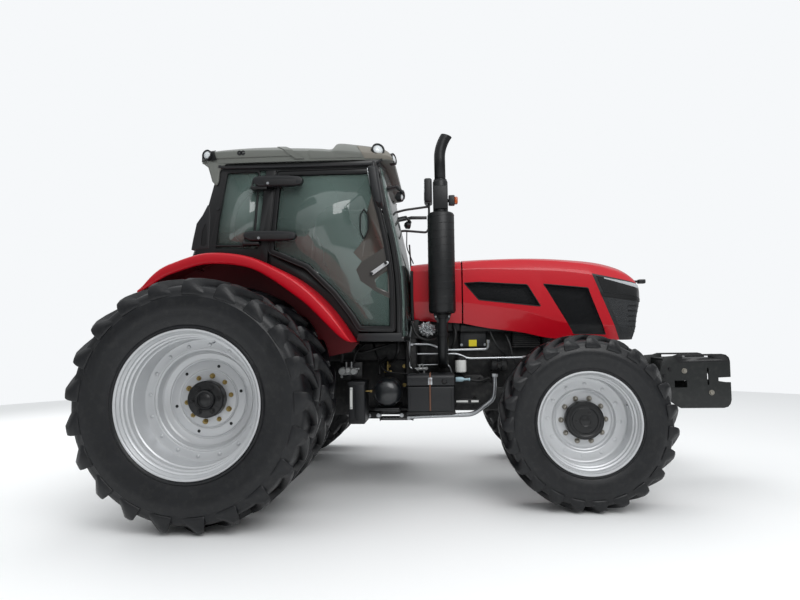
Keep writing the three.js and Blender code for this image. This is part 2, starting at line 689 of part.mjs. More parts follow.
function door(side, tag) {
  const [y0, y1] = [side * (CAB_HALF - DOOR_WALL + 10), side * (CAB_HALF + 10)];
  const hole = inset(DOOR, DOOR_RAIL);
  const [topRear, lowRear] = [DOOR[0], DOOR[DOOR.length - 1]];
  const slope = (topRear[0] - lowRear[0]) / (topRear[1] - lowRear[1]);
  const held = side * (HINGE_Y - POD_HALF + 5);
  const pods = [];
  for (const [x, z] of [HINGE_TOP, HINGE_LOW]) {
    const rearEdge = lowRear[0] + slope * (z - lowRear[1]);
    pods.push(slabZ(podPlan(x, side), z - POD_HEIGHT / 2, z + POD_HEIGHT / 2));
    pods.push(block(rearEdge + 6, x + 250, side * (CAB_HALF - DOOR_WALL + 12), held,
      z - 45, z + 45));
  }
  const opening = slabY(hole, side * 500, side * (CAB_HALF + 10.3));
  const bores = [HINGE_TOP, HINGE_LOW].map((p) => rod(
    hingeAt(p, side, -POD_HEIGHT / 2 - 10), hingeAt(p, side, -POD_HEIGHT / 2 + 48),
    HINGE_PIN_R + 0.8, HINGE_PIN_R + 0.8, 12));
  const whole = cut(solid(slabY(DOOR, y0, y1)), opening).add(join(...pods));
  const seat = slabY(hole, side * (CAB_HALF - 10 + SEAT), side * (CAB_HALF - 60));
  add(`door_frame_${tag}`, shape(cut(whole, seat, ...bores)), 'blackPlastic');
  const [g0, g1] = [side * (CAB_HALF - 10), side * (CAB_HALF - 10 - GLASS)];
  add(`door_glass_${tag}`, closed(slabY(inset(DOOR, DOOR_RAIL + SEAT), g0, g1)), 'glass');
}

function cabTub() {
  const z = FLOOR_Z;
  const wide = CAB_HALF - 10;
  const plan = [
    [-400, -TUB_HALF], [1045, -TUB_HALF], [1045, -wide], [1410, -wide], [1454, -300],
    [1454, 300], [1410, wide], [1045, wide], [1045, TUB_HALF], [-400, TUB_HALF],
  ];
  add('cab_tub', shape(join(
    slabZ(plan, z, z + FLOOR_WALL),
    block(-400, -345, -TUB_HALF, TUB_HALF, z, TUB_TOP_Z),
    block(150, 620, -230, 230, z, SEAT_Z),
  )), 'blackPlastic');
  add('seat_cushion', block(130, 640, -250, 250, SEAT_Z + SEAT, CUSHION_Z), 'seatCloth');
  add('seat_backrest', closed(slabY(
    [[120, CUSHION_Z + SEAT], [230, CUSHION_Z + SEAT], [60, 2420], [-30, 2420]], -240, 240)), 'seatCloth');
}

function steeringWheel() {
  const turn = new THREE.Matrix4().makeRotationY(-WHEEL.tilt);
  const rim = new THREE.TorusGeometry(WHEEL.r, WHEEL.grip, 6, 18);
  const parts = [rim, rod([0, 0, -WHEEL.hub], [0, 0, 10], 40, 40, 12)];
  for (const a of [0, 2.2, -2.2]) {
    parts.push(rod([0, 0, 0], [WHEEL.r * Math.cos(a), WHEEL.r * Math.sin(a), 0], 12, 12, 6));
  }
  for (const p of parts) p.applyMatrix4(turn).translate(WHEEL.x, 0, WHEEL.z);
  add('steering_wheel', shape(join(...parts)), 'blackPlastic');
}

function dash() {
  const z = FLOOR_Z + FLOOR_WALL + SEAT;
  const along = (d) => [
    WHEEL.x + d * Math.sin(WHEEL.tilt), 0, WHEEL.z - d * Math.cos(WHEEL.tilt)];
  add('dash_console', shape(join(
    slabY([[1060, z], [1330, z], [1270, 1960], [1130, 1990], [1040, 1900], [1160, 1800]],
      -220, 220),
    rod(along(WHEEL.hub + PIN_GAP), along(WHEEL.hub + 110), 38, 38, 12),
  )), 'blackPlastic');
}

function roof() {
  const z = HEADER_Z;
  add('cab_header', closed(slabZ([
    [-132, -CAB_HALF], [1230, -CAB_HALF], [1262, -400], [1262, 400], [1230, CAB_HALF],
    [-132, CAB_HALF],
  ], z, z + HEADER_WALL)), 'blackPlastic');
  const low = z + HEADER_WALL + SEAT;
  const sections = [
    [-300, z + 155, z + 105, low + 20, ROOF_HALF - 80],
    [-250, z + 198, z + 155, low, ROOF_HALF - 10],
    [258, z + 237, z + 185, low, ROOF_HALF],
    [830, z + 200, z + 155, low, ROOF_HALF],
    [870, z + 226, z + 165, low, ROOF_HALF - 10],
    [1010, z + 215, z + 155, low, ROOF_HALF - 20],
    [1262, z + 180, z + 125, low, ROOF_HALF - 50],
    [1335, z + 105, z + 100, low + 8, ROOF_HALF - 100],
  ];
  add('cab_roof', shape(hull(sections, 0, 0)), 'greyPaint');
}

function windscreens() {
  const n = 8;
  const front = [];
  const back = [];
  const half = CAB_HALF - 12;
  for (let i = 0; i <= n; i += 1) {
    const y = -half + (2 * half * i) / n;
    const x = 7 + WINDSCREEN_BULGE * (1 - (y / half) ** 2);
    front.push([x, y]);
    back.unshift([x - GLASS, y]);
  }
  const levels = PILLAR_FRONT.map(([x, z]) => [
    x, Math.min(Math.max(z, FLOOR_Z + FLOOR_WALL + SEAT), HEADER_Z - SEAT)]);
  const panes = [];
  for (let i = 0; i + 1 < levels.length; i += 1) {
    const [[topX, topZ], [lowX, lowZ]] = [levels[i], levels[i + 1]];
    const lean = (topX - lowX) / (topZ - lowZ);
    const shear = new THREE.Matrix4().set(1, 0, lean, 0, 0, 1, 0, 0, 0, 0, 1, 0, 0, 0, 0, 1);
    const pane = slabZ([...front, ...back], 0, topZ - lowZ).applyMatrix4(shear);
    panes.push(pane.translate(lowX, 0, lowZ));
  }
  add('windscreen', shape(join(...panes)), 'glass');
  const rearPane = slabY([
    [-366, TUB_TOP_Z + SEAT], [-360, TUB_TOP_Z + SEAT], [-118, HEADER_Z - SEAT],
    [-124, HEADER_Z - SEAT],
  ], -CAB_HALF + 70, CAB_HALF - 70);
  add('rear_window', closed(rearPane), 'glass');
}

// ------------------------------------------------------------------- fenders
function fender(side, tag) {
  const n = FENDER_ARC.length;
  const below = FENDER_ARC.map(([x, z], i) => {
    const a = FENDER_ARC[Math.max(i - 1, 0)];
    const b = FENDER_ARC[Math.min(i + 1, n - 1)];
    const l = Math.hypot(b[0] - a[0], b[1] - a[1]);
    return [x + (FENDER_WALL * (b[1] - a[1])) / l, z - (FENDER_WALL * (b[0] - a[0])) / l];
  });
  const top = slabY([...FENDER_ARC, ...below.reverse()], side * (TUB_HALF + 5), side * FENDER_OUT);
  const lip = slabY([...FENDER_ARC, ...[...FENDER_LIP].reverse()],
    side * (FENDER_OUT - FENDER_WALL), side * FENDER_OUT);
  const wall = slabY([[-400, 1263], ...FENDER_ARC.slice(2)],
    side * (TUB_HALF + SEAT), side * (TUB_HALF + SEAT + FENDER_WALL));
  add(`fender_${tag}`, shape(join(top, lip, wall)), 'redPaint');
}

// ------------------------------------------------------------------- fittings
function mirrors() {
  const arm = HEADER_Z - 55;
  const mid = CAB_HALF + 360;
  const tip = CAB_HALF + 130;
  add('mirror_R', shape(join(
    slabY([
      [1172, arm - 57], [1196, arm - 210], [1234, arm - 350], [1290, arm - 350],
      [1266, arm - 210], [1244, arm - 57],
    ], -mid - 95, -mid + 95),
    rod([1214, -CAB_HALF - SEAT, arm], [1214, -mid, arm], 14, 14, 8),
    rod([1214, -mid, arm + 10], [1214, -mid, arm - 80], 14, 14, 8),
  )), 'blackPlastic');
  add('mirror_L', shape(join(
    slabZ([
      [1550, tip - 100], [1628, tip - 100], [1640, tip - 60], [1640, tip + 70],
      [1628, tip + 110], [1550, tip + 110],
    ], arm + 125, arm + 400),
    rod([1209, CAB_HALF + 20, arm + 10], [1600, tip, arm + 150], 13, 13, 8),
    block(1190, 1228, CAB_HALF + SEAT, CAB_HALF + 34, arm - 12, arm + 32),
    rod([1243, CAB_HALF + 20, arm - 200], [1600, tip, arm + 140], 13, 13, 8),
    block(1224, 1262, CAB_HALF + SEAT, CAB_HALF + 34, arm - 222, arm - 178),
  )), 'blackPlastic');
}

function sideGear() {
  add('battery_box', shape(join(
    block(1424, 1812, -760, -460, 690, 990),
    block(1500, 1730, -470, -ENGINE.half - 40 - SEAT, 780, 860),
  )), 'blackSteel');
  add('air_tank', shape(join(
    rod([1261, -740, 844], [1261, -450, 844], 118, 118, 18),
    rod([1261, -790, 844], [1261, -740, 844], 60, 118, 18),
    block(1200, 1320, -460, -GEARCASE.half - SEAT, 800, 880),
  )), 'blackSteel');
  add('side_box_R', shape(join(
    block(930, 1074, -680, -400, 580, 930),
    block(960, 1050, -410, -GEARCASE.half - SEAT, 700, 800),
  )), 'blackPlastic');
  const steps = [];
  for (const z of [430, 700, 970]) steps.push(block(1060, 1400, 700, 860, z, z + 25));
  add('fuel_tank_L', shape(join(
    block(930, 1480, 420, 700, 560, 1100),
    block(1050, 1066, 690, 860, 430, 1180),
    block(1394, 1410, 690, 860, 430, 1180),
    block(1000, 1300, GEARCASE.half + SEAT, 430, 700, 800),
    ...steps,
  )), 'blackPlastic');
  add('drawbar', shape(join(
    block(-760, 300, -50, 50, 380, 430),
    block(-120, 120, -120, 120, 430, AXLECASE.z0 - SEAT),
  )), 'blackSteel');
}

// ---------------------------------------------------------------- rear hitch
// flat bar between two eyes, thick along Y
function bar(from, to, half, y0, y1, eye = half) {
  const angle = Math.atan2(to[1] - from[1], to[0] - from[0]);
  const points = [];
  for (const [[x, z], start] of [[to, angle - Math.PI / 2], [from, angle + Math.PI / 2]]) {
    for (let i = 0; i <= 6; i += 1) {
      const a = start + (Math.PI * i) / 6;
      points.push([x + eye * Math.cos(a), z + eye * Math.sin(a)]);
    }
  }
  return slabY(points, y0, y1);
}

function hitch() {
  const l = LIFT;
  const z = AXLECASE.z1 + l.shaftR + 0.5;
  const tip = [l.x - l.arm, z + l.rise];
  const parts = [rod([l.x, -l.armY, z], [l.x, l.armY, z], l.shaftR, l.shaftR, 14)];
  for (const s of [-1, 1]) {
    parts.push(bar([l.x, z], tip, 38, s * (l.armY - l.wall / 2), s * (l.armY + l.wall / 2)));
    parts.push(rod([tip[0], s * l.armY, tip[1]], [tip[0], s * (ROD_Y + ROD_R), tip[1]],
      PIN_R, PIN_R, 12));
  }
  add('lift_arms', shape(join(...parts)), 'blackSteel');
  const k = LINK;
  const at = (d) => [k.x - d, k.z - (k.drop * d) / k.length];
  for (const [s, tag] of [[1, 'L'], [-1, 'R']]) {
    const [y0, y1] = [s * (LINK_Y - LINK_WALL / 2), s * (LINK_Y + LINK_WALL / 2)];
    const pivot = rod([k.x, s * (LINK_Y - 20), k.z], [k.x, s * (LINK_Y + 20), k.z],
      PIN_R + 0.9, PIN_R + 0.9, 12);
    add(`lower_link_${tag}`, shape(cut(join(
      bar(at(0), at(k.length), 36, y0, y1),
      rod([at(k.length)[0], s * (LINK_Y - 32), at(k.length)[1]],
        [at(k.length)[0], s * (LINK_Y + 32), at(k.length)[1]], 42, 42, 14),
    ), pivot)), 'blackSteel');
    const top = [tip[0], s * ROD_Y, tip[1]];
    const low = [at(k.at)[0], s * ROD_Y, at(k.at)[1]];
    const span = [low[0] - top[0], low[2] - top[2]];
    const mid = (t) => [top[0] + span[0] * t, s * ROD_Y, top[2] + span[1] * t];
    const eye = rod([top[0], s * (ROD_Y - ROD_R - 2), top[2]],
      [top[0], s * (ROD_Y + ROD_R + 2), top[2]], PIN_R + 0.9, PIN_R + 0.9, 12);
    add(`lift_rod_${tag}`, shape(cut(join(
      rod(top, low, ROD_R - 1, ROD_R - 1, 10),
      rod([top[0], s * (ROD_Y - ROD_R), top[2]], [top[0], s * (ROD_Y + ROD_R), top[2]], 30, 30, 12),
      rod([low[0], s * (ROD_Y - ROD_R), low[2]], [low[0], s * (ROD_Y + ROD_R), low[2]], 30, 30, 12),
      slabY([[mid(0.3)[0] - 20, mid(0.3)[2]], [mid(0.3)[0] + 20, mid(0.3)[2]],
        [mid(0.6)[0] + 20, mid(0.6)[2]], [mid(0.6)[0] - 20, mid(0.6)[2]]],
      s * (ROD_Y - ROD_R), s * (ROD_Y + ROD_R)),
    ), eye)), 'blackSteel');
  }
}

driveLine();
hitch();
frontAxle();
frontBracket();
bonnet();
exhaust();
cabTub();
dash();
roof();
windscreens();
steeringWheel();
mirrors();
sideGear();
tieRod();
for (const [side, tag] of [[1, 'L'], [-1, 'R']]) {
  rearWheel(side, tag);
  frontWheel(side, tag);
  knuckle(side, tag);
  pillars(side, tag);
  door(side, tag);
  fender(side, tag);
}

// origin on the ground, under the middle of the overall box
const overall = new THREE.Box3().setFromObject(tractor);
const middle = (overall.min.x + overall.max.x) / 2;
for (const mesh of tractor.children) mesh.geometry.translate(-middle, 0, 0);

export default tractor;
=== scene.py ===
# %% [markdown]
# A four-wheel-drive farm tractor with dual rear wheels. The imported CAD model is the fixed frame:
# it says where every joint, pin and plate is. Everything below is laid round that frame, in metres.

# %% Load the frame
import math

import bpy
from mathutils import Matrix, Vector


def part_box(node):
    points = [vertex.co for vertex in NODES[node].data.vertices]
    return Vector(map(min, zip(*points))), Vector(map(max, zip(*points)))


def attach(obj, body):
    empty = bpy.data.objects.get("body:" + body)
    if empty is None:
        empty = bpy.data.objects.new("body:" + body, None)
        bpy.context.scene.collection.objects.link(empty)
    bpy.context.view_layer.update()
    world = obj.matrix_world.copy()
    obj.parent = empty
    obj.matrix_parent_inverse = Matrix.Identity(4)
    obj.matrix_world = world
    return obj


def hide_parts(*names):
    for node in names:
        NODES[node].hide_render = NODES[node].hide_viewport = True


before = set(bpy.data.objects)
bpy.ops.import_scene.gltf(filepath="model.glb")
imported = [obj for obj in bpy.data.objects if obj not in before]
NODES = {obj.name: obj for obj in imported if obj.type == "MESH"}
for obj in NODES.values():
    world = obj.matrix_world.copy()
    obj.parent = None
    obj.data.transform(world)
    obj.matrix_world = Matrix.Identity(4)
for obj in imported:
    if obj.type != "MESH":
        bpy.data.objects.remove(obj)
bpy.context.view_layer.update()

REAR_X = sum(corner.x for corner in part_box("rear_tyre_outer_R")) / 2
AXLE_Z = sum(corner.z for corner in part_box("rear_hub_R")) / 2
FRONT_X = sum(corner.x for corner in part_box("front_tyre_R")) / 2
FRONT_Z = sum(corner.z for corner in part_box("front_tyre_R")) / 2
MM = 0.001
print("rear axle at", round(REAR_X, 4), round(AXLE_Z, 4), "front axle at", round(FRONT_X, 4),
    round(FRONT_Z, 4))


def at(x, y, z):
    """A point measured in mm from the rear axle's middle, from the centre plane and from the ground."""
    return Vector((x * MM + REAR_X, y * MM, z * MM))


def side_on(y, outline):
    """Points of a shape seen from the side, all at one distance from the centre plane."""
    return [at(x, y, z) for x, z in outline]


def end_on(x, outline):
    """Points of a shape seen from the front, all at one distance from the rear axle."""
    return [at(x, y, z) for y, z in outline]


# %% [markdown]
# Every piece is begun from a primitive and shaped in edit mode, as by hand. Blender's operators work
# on whatever is selected, so each helper first clears the selection and takes hold of one piece.

# %% Taking hold of a piece
def open_mesh(action="SELECT"):
    """Enters edit mode with everything selected, or nothing."""
    bpy.ops.object.mode_set(mode="EDIT")
    bpy.ops.mesh.select_all(action=action)


def close_mesh():
    bpy.ops.object.mode_set(mode="OBJECT")


def hold(*pieces):
    if bpy.context.object and bpy.context.object.mode != "OBJECT":
        close_mesh()
    bpy.ops.object.select_all(action="DESELECT")
    for piece in pieces:
        piece.select_set(True)
    if pieces:
        bpy.context.view_layer.objects.active = pieces[0]


def fresh(name):
    """The primitive that was just added, named, with its place put into its mesh."""
    piece = bpy.context.object
    piece.name = name
    bpy.ops.object.transform_apply(location=True, rotation=True, scale=True)
    return piece


def lay(piece, points):
    """Moves the vertices of a fresh primitive to their places, in order."""
    for vertex, point in zip(piece.data.vertices, points):
        vertex.co = point
    piece.data.update()


def smooth(piece, degrees=32):
    hold(piece)
    bpy.ops.object.shade_smooth_by_angle(angle=math.radians(degrees))
    return piece


def soften(piece, width, segments=2, degrees=30):
    """Rounds the edges that are sharper than the angle: real edges are never knife-sharp."""
    if width > 0:
        hold(piece)
        bevel = piece.modifiers.new("edge", "BEVEL")
        bevel.width = width
        bevel.segments = segments
        bevel.limit_method = "ANGLE"
        bevel.angle_limit = math.radians(degrees)
        bpy.ops.object.modifier_apply(modifier=bevel.name)
    return smooth(piece)


def outward(piece):
    hold(piece)
    open_mesh()
    bpy.ops.mesh.remove_doubles(threshold=2e-5)
    bpy.ops.mesh.normals_make_consistent(inside=False)
    close_mesh()
    return piece


# %% [markdown]
# Four ways of making cover most of a tractor. Blocks are cast or boxed parts, plates are cut from
# sheet, turned parts come from a lathe, and pipes follow a bent path.

# %% Blocks, plates, turned parts and pipes
def block(name, low, high, edge=0.004, segments=2):
    low, high = Vector(low), Vector(high)
    size = high - low
    hold()
    bpy.ops.mesh.primitive_cube_add(size=1, location=(low + high) / 2,
                                    scale=[max(abs(d), 1e-4) for d in size])
    return soften(fresh(name), edge, segments)


def boxes(name, rows):
    """Blocks from rows of a low corner and a high corner in mm, and how the edges are rounded."""
    return [block(name, at(*row[:3]), at(*row[3:6]), *row[6:]) for row in rows]


def plate(name, outline, thick, edge=0.002, segments=2):
    """A flat outline of points pushed along the vector thick."""
    hold()
    bpy.ops.mesh.primitive_circle_add(vertices=len(outline), fill_type="NGON")
    piece = fresh(name)
    lay(piece, outline)
    open_mesh()
    bpy.ops.mesh.extrude_region_move(TRANSFORM_OT_translate={"value": thick})
    close_mesh()
    return soften(outward(piece), edge, segments)


AXES = {"X": Vector((1, 0, 0)), "Y": Vector((0, 1, 0)), "Z": Vector((0, 0, 1))}
ACROSS = {"X": Vector((0, 0, 1)), "Y": Vector((0, 0, 1)), "Z": Vector((1, 0, 0))}


def turned(name, profile, centre, axis="Y", steps=64, degrees=32, along=None):
    """A closed profile of (radius, height) pairs spun about an axis through centre."""
    axle = AXES[axis] if along is None else along.normalized()
    out = ACROSS[axis] if along is None else axle.orthogonal().normalized()
    hold()
    bpy.ops.mesh.primitive_circle_add(vertices=len(profile), fill_type="NOTHING")
    piece = fresh(name)
    lay(piece, [centre + out * r + axle * h for r, h in profile])
    open_mesh()
    bpy.ops.mesh.spin(steps=steps, angle=2 * math.pi, center=centre, axis=axle)
    close_mesh()
    return smooth(outward(piece), degrees)


def rounded(points, bend):
    """The path with each corner replaced by an arc-like curve that starts bend before it."""
    points = [Vector(p) for p in points]
    path, steps = [points[0]], 5
    for before, corner, after in zip(points, points[1:], points[2:]):
        reach = min(bend, (corner - before).length * 0.48, (after - corner).length * 0.48)
        start = corner + (before - corner).normalized() * reach
        end = corner + (after - corner).normalized() * reach
        for i in range(steps + 1):
            t = i / steps
            path.append(start * (1 - t) ** 2 + corner * 2 * t * (1 - t) + end * t * t)
    return path + [points[-1]]


def pipe(name, points, radius, bend=0.04, sides=5):
    """A round bar, pipe or hose along a path with rounded corners and closed ends."""
    path = rounded(points, bend) if bend else [Vector(p) for p in points]
    hold()
    bpy.ops.curve.primitive_bezier_curve_add(location=(0, 0, 0))
    piece = bpy.context.object
    piece.data.splines.clear()
    spline = piece.data.splines.new("POLY")
    spline.points.add(len(path) - 1)
    for knot, point in zip(spline.points, path):
        knot.co = (*point, 1)
    piece.data.dimensions = "3D"
    piece.data.bevel_depth = radius
    piece.data.bevel_resolution = sides
    piece.data.use_fill_caps = True
    hold(piece)
    bpy.ops.object.convert(target="MESH")
    return smooth(fresh(name), 50)


def joined(name, pieces):
    hold(*pieces)
    if len(pieces) > 1:
        bpy.ops.object.join()
    piece = bpy.context.object
    piece.name = name
    return piece


def round_about(piece, count, centre, axis="Y"):
    """Copies the piece round an axis, so that count of them stand in a ring, in one mesh."""
    hold(piece)
    open_mesh()
    bpy.ops.mesh.spin(steps=count - 1, angle=2 * math.pi * (count - 1) / count, dupli=True,
                      center=centre, axis=AXES[axis])
    close_mesh()
    return piece


def turn(piece, radians, centre, axis="Y"):
    """Turns the mesh itself, so the object stays at the origin."""
    spin = Matrix.Translation(centre) @ Matrix.Rotation(radians, 4,
        AXES[axis]) @ Matrix.Translation(-centre)
    piece.data.transform(spin)
    return piece


def twin(piece, name, shift=(0, 0, 0), flip=False):
    """A copy with its own mesh, shifted or mirrored to the tractor's other side."""
    hold(piece)
    bpy.ops.object.duplicate(linked=False)
    copy = bpy.context.object
    copy.name = name
    copy.data.transform(Matrix.Diagonal((1, -1, 1, 1)) if flip else Matrix.Translation(shift))
    if flip:
        copy.data.flip_normals()
    return copy


PIECES = []


def fit(piece, material, body="chassis", stands_for=()):
    """Gives a piece its material, the body it moves with and the CAD nodes it stands for."""
    piece.data.materials.clear()
    piece.data.materials.append(material)
    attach(piece, body)
    if stands_for:
        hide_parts(*stands_for)
    PIECES.append(piece)
    return piece


# %% [markdown]
# Colours are read off the real finishes as sRGB hex values and turned to linear light once, here.
# A finish is mostly one shader, so one function lays the nodes that every surface needs: a slow
# drift of colour, a change of gloss and a fine relief, each at a real size.

# %% Colour and nodes
def colour(code):
    parts = [int(code[i:i + 2], 16) / 255 for i in (1, 3, 5)]
    return [p / 12.92 if p <= 0.04045 else ((p + 0.055) / 1.055) ** 2.4 for p in parts] + [1.0]


def add_node(tree, kind, inputs=None, **settings):
    new = tree.nodes.new("ShaderNode" + kind)
    for key, value in settings.items():
        setattr(new, key, value)
    for socket, value in (inputs or {}).items():
        if isinstance(value, bpy.types.NodeSocket):
            tree.links.new(value, new.inputs[socket])
        else:
            new.inputs[socket].default_value = value
    return new


def surface(name, code, roughness, metallic=0.0, grain=2.0, relief=0.1, drift=0.08, patch=0.4,
            gloss_drift=0.08, dust=0.0, **sockets):
    """grain: size of the relief in mm. patch: size of the colour drift in metres."""
    material = bpy.data.materials.new(name)
    material.use_nodes = True
    tree = material.node_tree
    shader = tree.nodes["Principled BSDF"]
    shader.inputs["Metallic"].default_value = metallic
    for socket, value in sockets.items():
        shader.inputs[socket.replace("_", " ")].default_value = value
    place = add_node(tree, "TexCoord").outputs["Object"]
    slow = add_node(tree, "TexNoise", {"Vector": place, "Scale": 1 / patch, "Detail": 4.0})
    base = Vector(colour(code)[:3])
    light = [*(base * (1 + drift)), 1.0]
    dark = [*(base * (1 - drift)), 1.0]
    mix = add_node(tree, "Mix", {0: slow.outputs["Fac"], 6: dark, 7: light}, data_type="RGBA")
    tint = mix.outputs[2]
    if dust > 0:
        speck = add_node(tree, "TexNoise", {"Vector": place, "Scale": 26.0, "Detail": 6.0})
        fall = add_node(tree, "MapRange", {"Value": speck.outputs["Fac"], 1: 0.5, 2: 0.75, 4: dust})
        dusted = add_node(tree, "Mix", {0: fall.outputs[0], 6: tint, 7: colour("#8C8A84")},
                          data_type="RGBA")
        tint = dusted.outputs[2]
    tree.links.new(tint, shader.inputs["Base Color"])
    wear = add_node(tree, "MapRange", {"Value": slow.outputs["Fac"], 3: roughness - gloss_drift,
                                       4: roughness + gloss_drift})
    tree.links.new(wear.outputs[0], shader.inputs["Roughness"])
    fine = add_node(tree, "TexNoise", {"Vector": place, "Scale": 1000 / grain, "Detail": 3.0})
    bump = add_node(tree, "Bump", {"Height": fine.outputs["Fac"], "Strength": relief,
                                   "Distance": grain * MM})
    tree.links.new(bump.outputs["Normal"], shader.inputs["Normal"])
    return material


# %% [markdown]
# The tractor's finishes. Body panels are sprayed acrylic enamel with a clear coat: a smooth skin with
# a faint orange peel about 3 mm across. Wheels are silver wheel enamel, frames are powder coat,
# castings keep the grain of their sand mould under black paint, and cab trim is moulded with a
# leather-like grain. Tyres are filled natural rubber, which is dull when dry and shines on its lugs.

# %% Finishes
RED = surface("red_acrylic_enamel", "#BC061C", 0.34, grain=3.0, relief=0.02, drift=0.05, patch=0.8,
              gloss_drift=0.04, Coat_Weight=0.3, Coat_Roughness=0.08, Specular_IOR_Level=0.32)
# The mudguards' undersides, inner walls and stays: the body red darkened as painted shade, with some grime.
SHADED_GRIMY_RED = surface("red_enamel_inside", "#6A0C16", 0.5, grain=3.0, relief=0.05, drift=0.12)
GREY = surface("grey_satin_enamel", "#6C6F6A", 0.42, grain=3.0, relief=0.03, drift=0.05, patch=0.6,
               Coat_Weight=0.15, Coat_Roughness=0.3)
MOULDED = surface("black_moulded_plastic", "#131518", 0.46, grain=1.6, relief=0.25, drift=0.1)
FRAME_BLACK = surface("black_powder_coat", "#0C0D0F", 0.34, grain=1.2, relief=0.12, drift=0.12)
BRACKET_BLACK = surface("weathered_chassis_enamel", "#101414", 0.40, grain=2.5, relief=0.14,
                        drift=0.16, patch=0.15, dust=0.04)
CASTING = surface("painted_cast_iron", "#0D0E10", 0.5, metallic=0.1, grain=3.5, relief=0.5,
                  drift=0.25, patch=0.2, dust=0.10)
SILVER = surface("silver_wheel_enamel", "#C6C8CA", 0.36, metallic=0.35, grain=1.5, relief=0.06,
                 drift=0.06, patch=0.25, gloss_drift=0.06, Coat_Weight=0.2, Coat_Roughness=0.2)
# The faint blue in the tyre black is painted reflection, standing for the bluish sheen on the lugs.
RUBBER = surface("vulcanised_tyre_rubber", "#090B0F", 0.36, grain=4.0, relief=0.35, drift=0.25,
                 patch=0.12, gloss_drift=0.14, dust=0.03, Specular_IOR_Level=0.45)
HOSE = surface("hose_rubber", "#0B0C0D", 0.55, grain=1.5, relief=0.2, drift=0.15)
ZINC = surface("yellow_zinc_plate", "#A08C58", 0.34, metallic=0.9, grain=1.0, relief=0.1, drift=0.2,
               patch=0.02)
DULL_ZINC = surface("dulled_zinc_plate", "#97938A", 0.4, metallic=0.8, grain=1.0, relief=0.1,
    drift=0.15, patch=0.02)
STEEL = surface("bright_steel", "#B4B7BA", 0.3, metallic=0.95, grain=1.0, relief=0.08, drift=0.1,
                patch=0.05)
EXHAUST_BLACK = surface("heat_resistant_black", "#101214", 0.42, metallic=0.2, grain=1.5,
                        relief=0.15, drift=0.15, patch=0.1)
SEAL = surface("rubber_seal", "#0E0F11", 0.62, grain=1.5, relief=0.15, drift=0.15)
FRIT = surface("fired_glass_frit", "#54504B", 0.28, grain=1.5, relief=0.02, drift=0.06,
               Coat_Weight=0.5)
LENS_DARK = surface("smoked_lamp_lens", "#0C0E10", 0.08, grain=6.0, relief=0.02, drift=0.1,
                    gloss_drift=0.02, Coat_Weight=1.0, Coat_Roughness=0.03)
LENS_CLEAR = surface("ribbed_lamp_lens", "#D9DEE0", 0.12, grain=5.0, relief=0.3, drift=0.05,
                     gloss_drift=0.04, Coat_Weight=0.6)
LENS_AMBER = surface("amber_lamp_lens", "#B7521A", 0.2, grain=4.0, relief=0.2, drift=0.1,
                     Coat_Weight=0.5)
LENS_RED = surface("red_lamp_lens", "#8E1015", 0.2, grain=4.0, relief=0.2, drift=0.1,
                   Coat_Weight=0.5)
WHITE = surface("white_enamel", "#D8D9D6", 0.4, grain=2.0, relief=0.05, drift=0.05)
YELLOW = surface("yellow_vinyl", "#E2CF20", 0.45, grain=2.0, relief=0.03, drift=0.05)
MIRROR = surface("silvered_glass", "#DDE2E4", 0.04, metallic=1.0, grain=8.0, relief=0.0,
                 drift=0.02, gloss_drift=0.01)


def cloth(name, code):
    """A plain weave: threads 1.2 mm apart are too fine to show, so they are drawn 4 mm apart."""
    material = surface(name, code, 0.85, grain=2.0, relief=0.1, drift=0.1, Sheen_Weight=0.3)
    tree = material.node_tree
    place = add_node(tree, "TexCoord").outputs["Object"]
    warp = add_node(tree, "TexWave", {"Vector": place, "Scale": 80.0}, bands_direction="Y")
    weft = add_node(tree, "TexWave", {"Vector": place, "Scale": 80.0}, bands_direction="DIAGONAL")
    weave = add_node(tree, "Math", {0: warp.outputs["Fac"], 1: weft.outputs["Fac"]})
    bump = add_node(tree, "Bump", {"Height": weave.outputs[0], "Strength": 0.4, "Distance": 0.002})
    tree.links.new(bump.outputs["Normal"], tree.nodes["Principled BSDF"].inputs["Normal"])
    return material


def glazing(name, code, opacity):
    """Green-tinted safety glass: part of the light goes straight through; the rest meets a teal-grey surface
    under a clear coat, its colour the real tint with a painted reflection in it.
    """
    material = surface(name, code, 0.05, grain=30.0, relief=0.0, drift=0.1, patch=0.9,
                       gloss_drift=0.01, Coat_Weight=1.0, Coat_Roughness=0.02)
    material.node_tree.nodes["Principled BSDF"].inputs["Alpha"].default_value = opacity
    return material


SEAT_CLOTH = cloth("woven_seat_cloth", "#2A2C31")
# Most of each pane is an opaque teal-grey: the real green tint with a painted reflection.
GLASS = glazing("tinted_safety_glass", "#5F716C", 0.76)
print(len(bpy.data.materials), "finishes")

# %% [markdown]
# The camera stands beside the front of the cab at chest height, a little under six metres out. The
# floor is one pale sheet and the light is soft: a bright even sky and three broad studio panels.

# %% Camera, floor and light
EYE = at(1697, -5713, 1288)
YAW, PITCH, ROLL = (math.radians(a) for a in (3.69, 3.59, -0.71))
ahead = Vector((-math.sin(YAW) * math.cos(PITCH), math.cos(YAW) * math.cos(PITCH), math.sin(PITCH)))
level = ahead.cross(Vector((0, 0, 1))).normalized()
upright = level.cross(ahead)
right = level * math.cos(ROLL) + upright * math.sin(ROLL)
top = upright * math.cos(ROLL) - level * math.sin(ROLL)
bpy.ops.object.camera_add(location=EYE)
camera = bpy.context.object
camera.matrix_world = Matrix((
    (right.x, top.x, -ahead.x, EYE.x), (right.y, top.y, -ahead.y, EYE.y),
    (right.z, top.z, -ahead.z, EYE.z), (0, 0, 0, 1)))
camera.data.sensor_width = 36
camera.data.lens = 27.33
bpy.context.scene.camera = camera

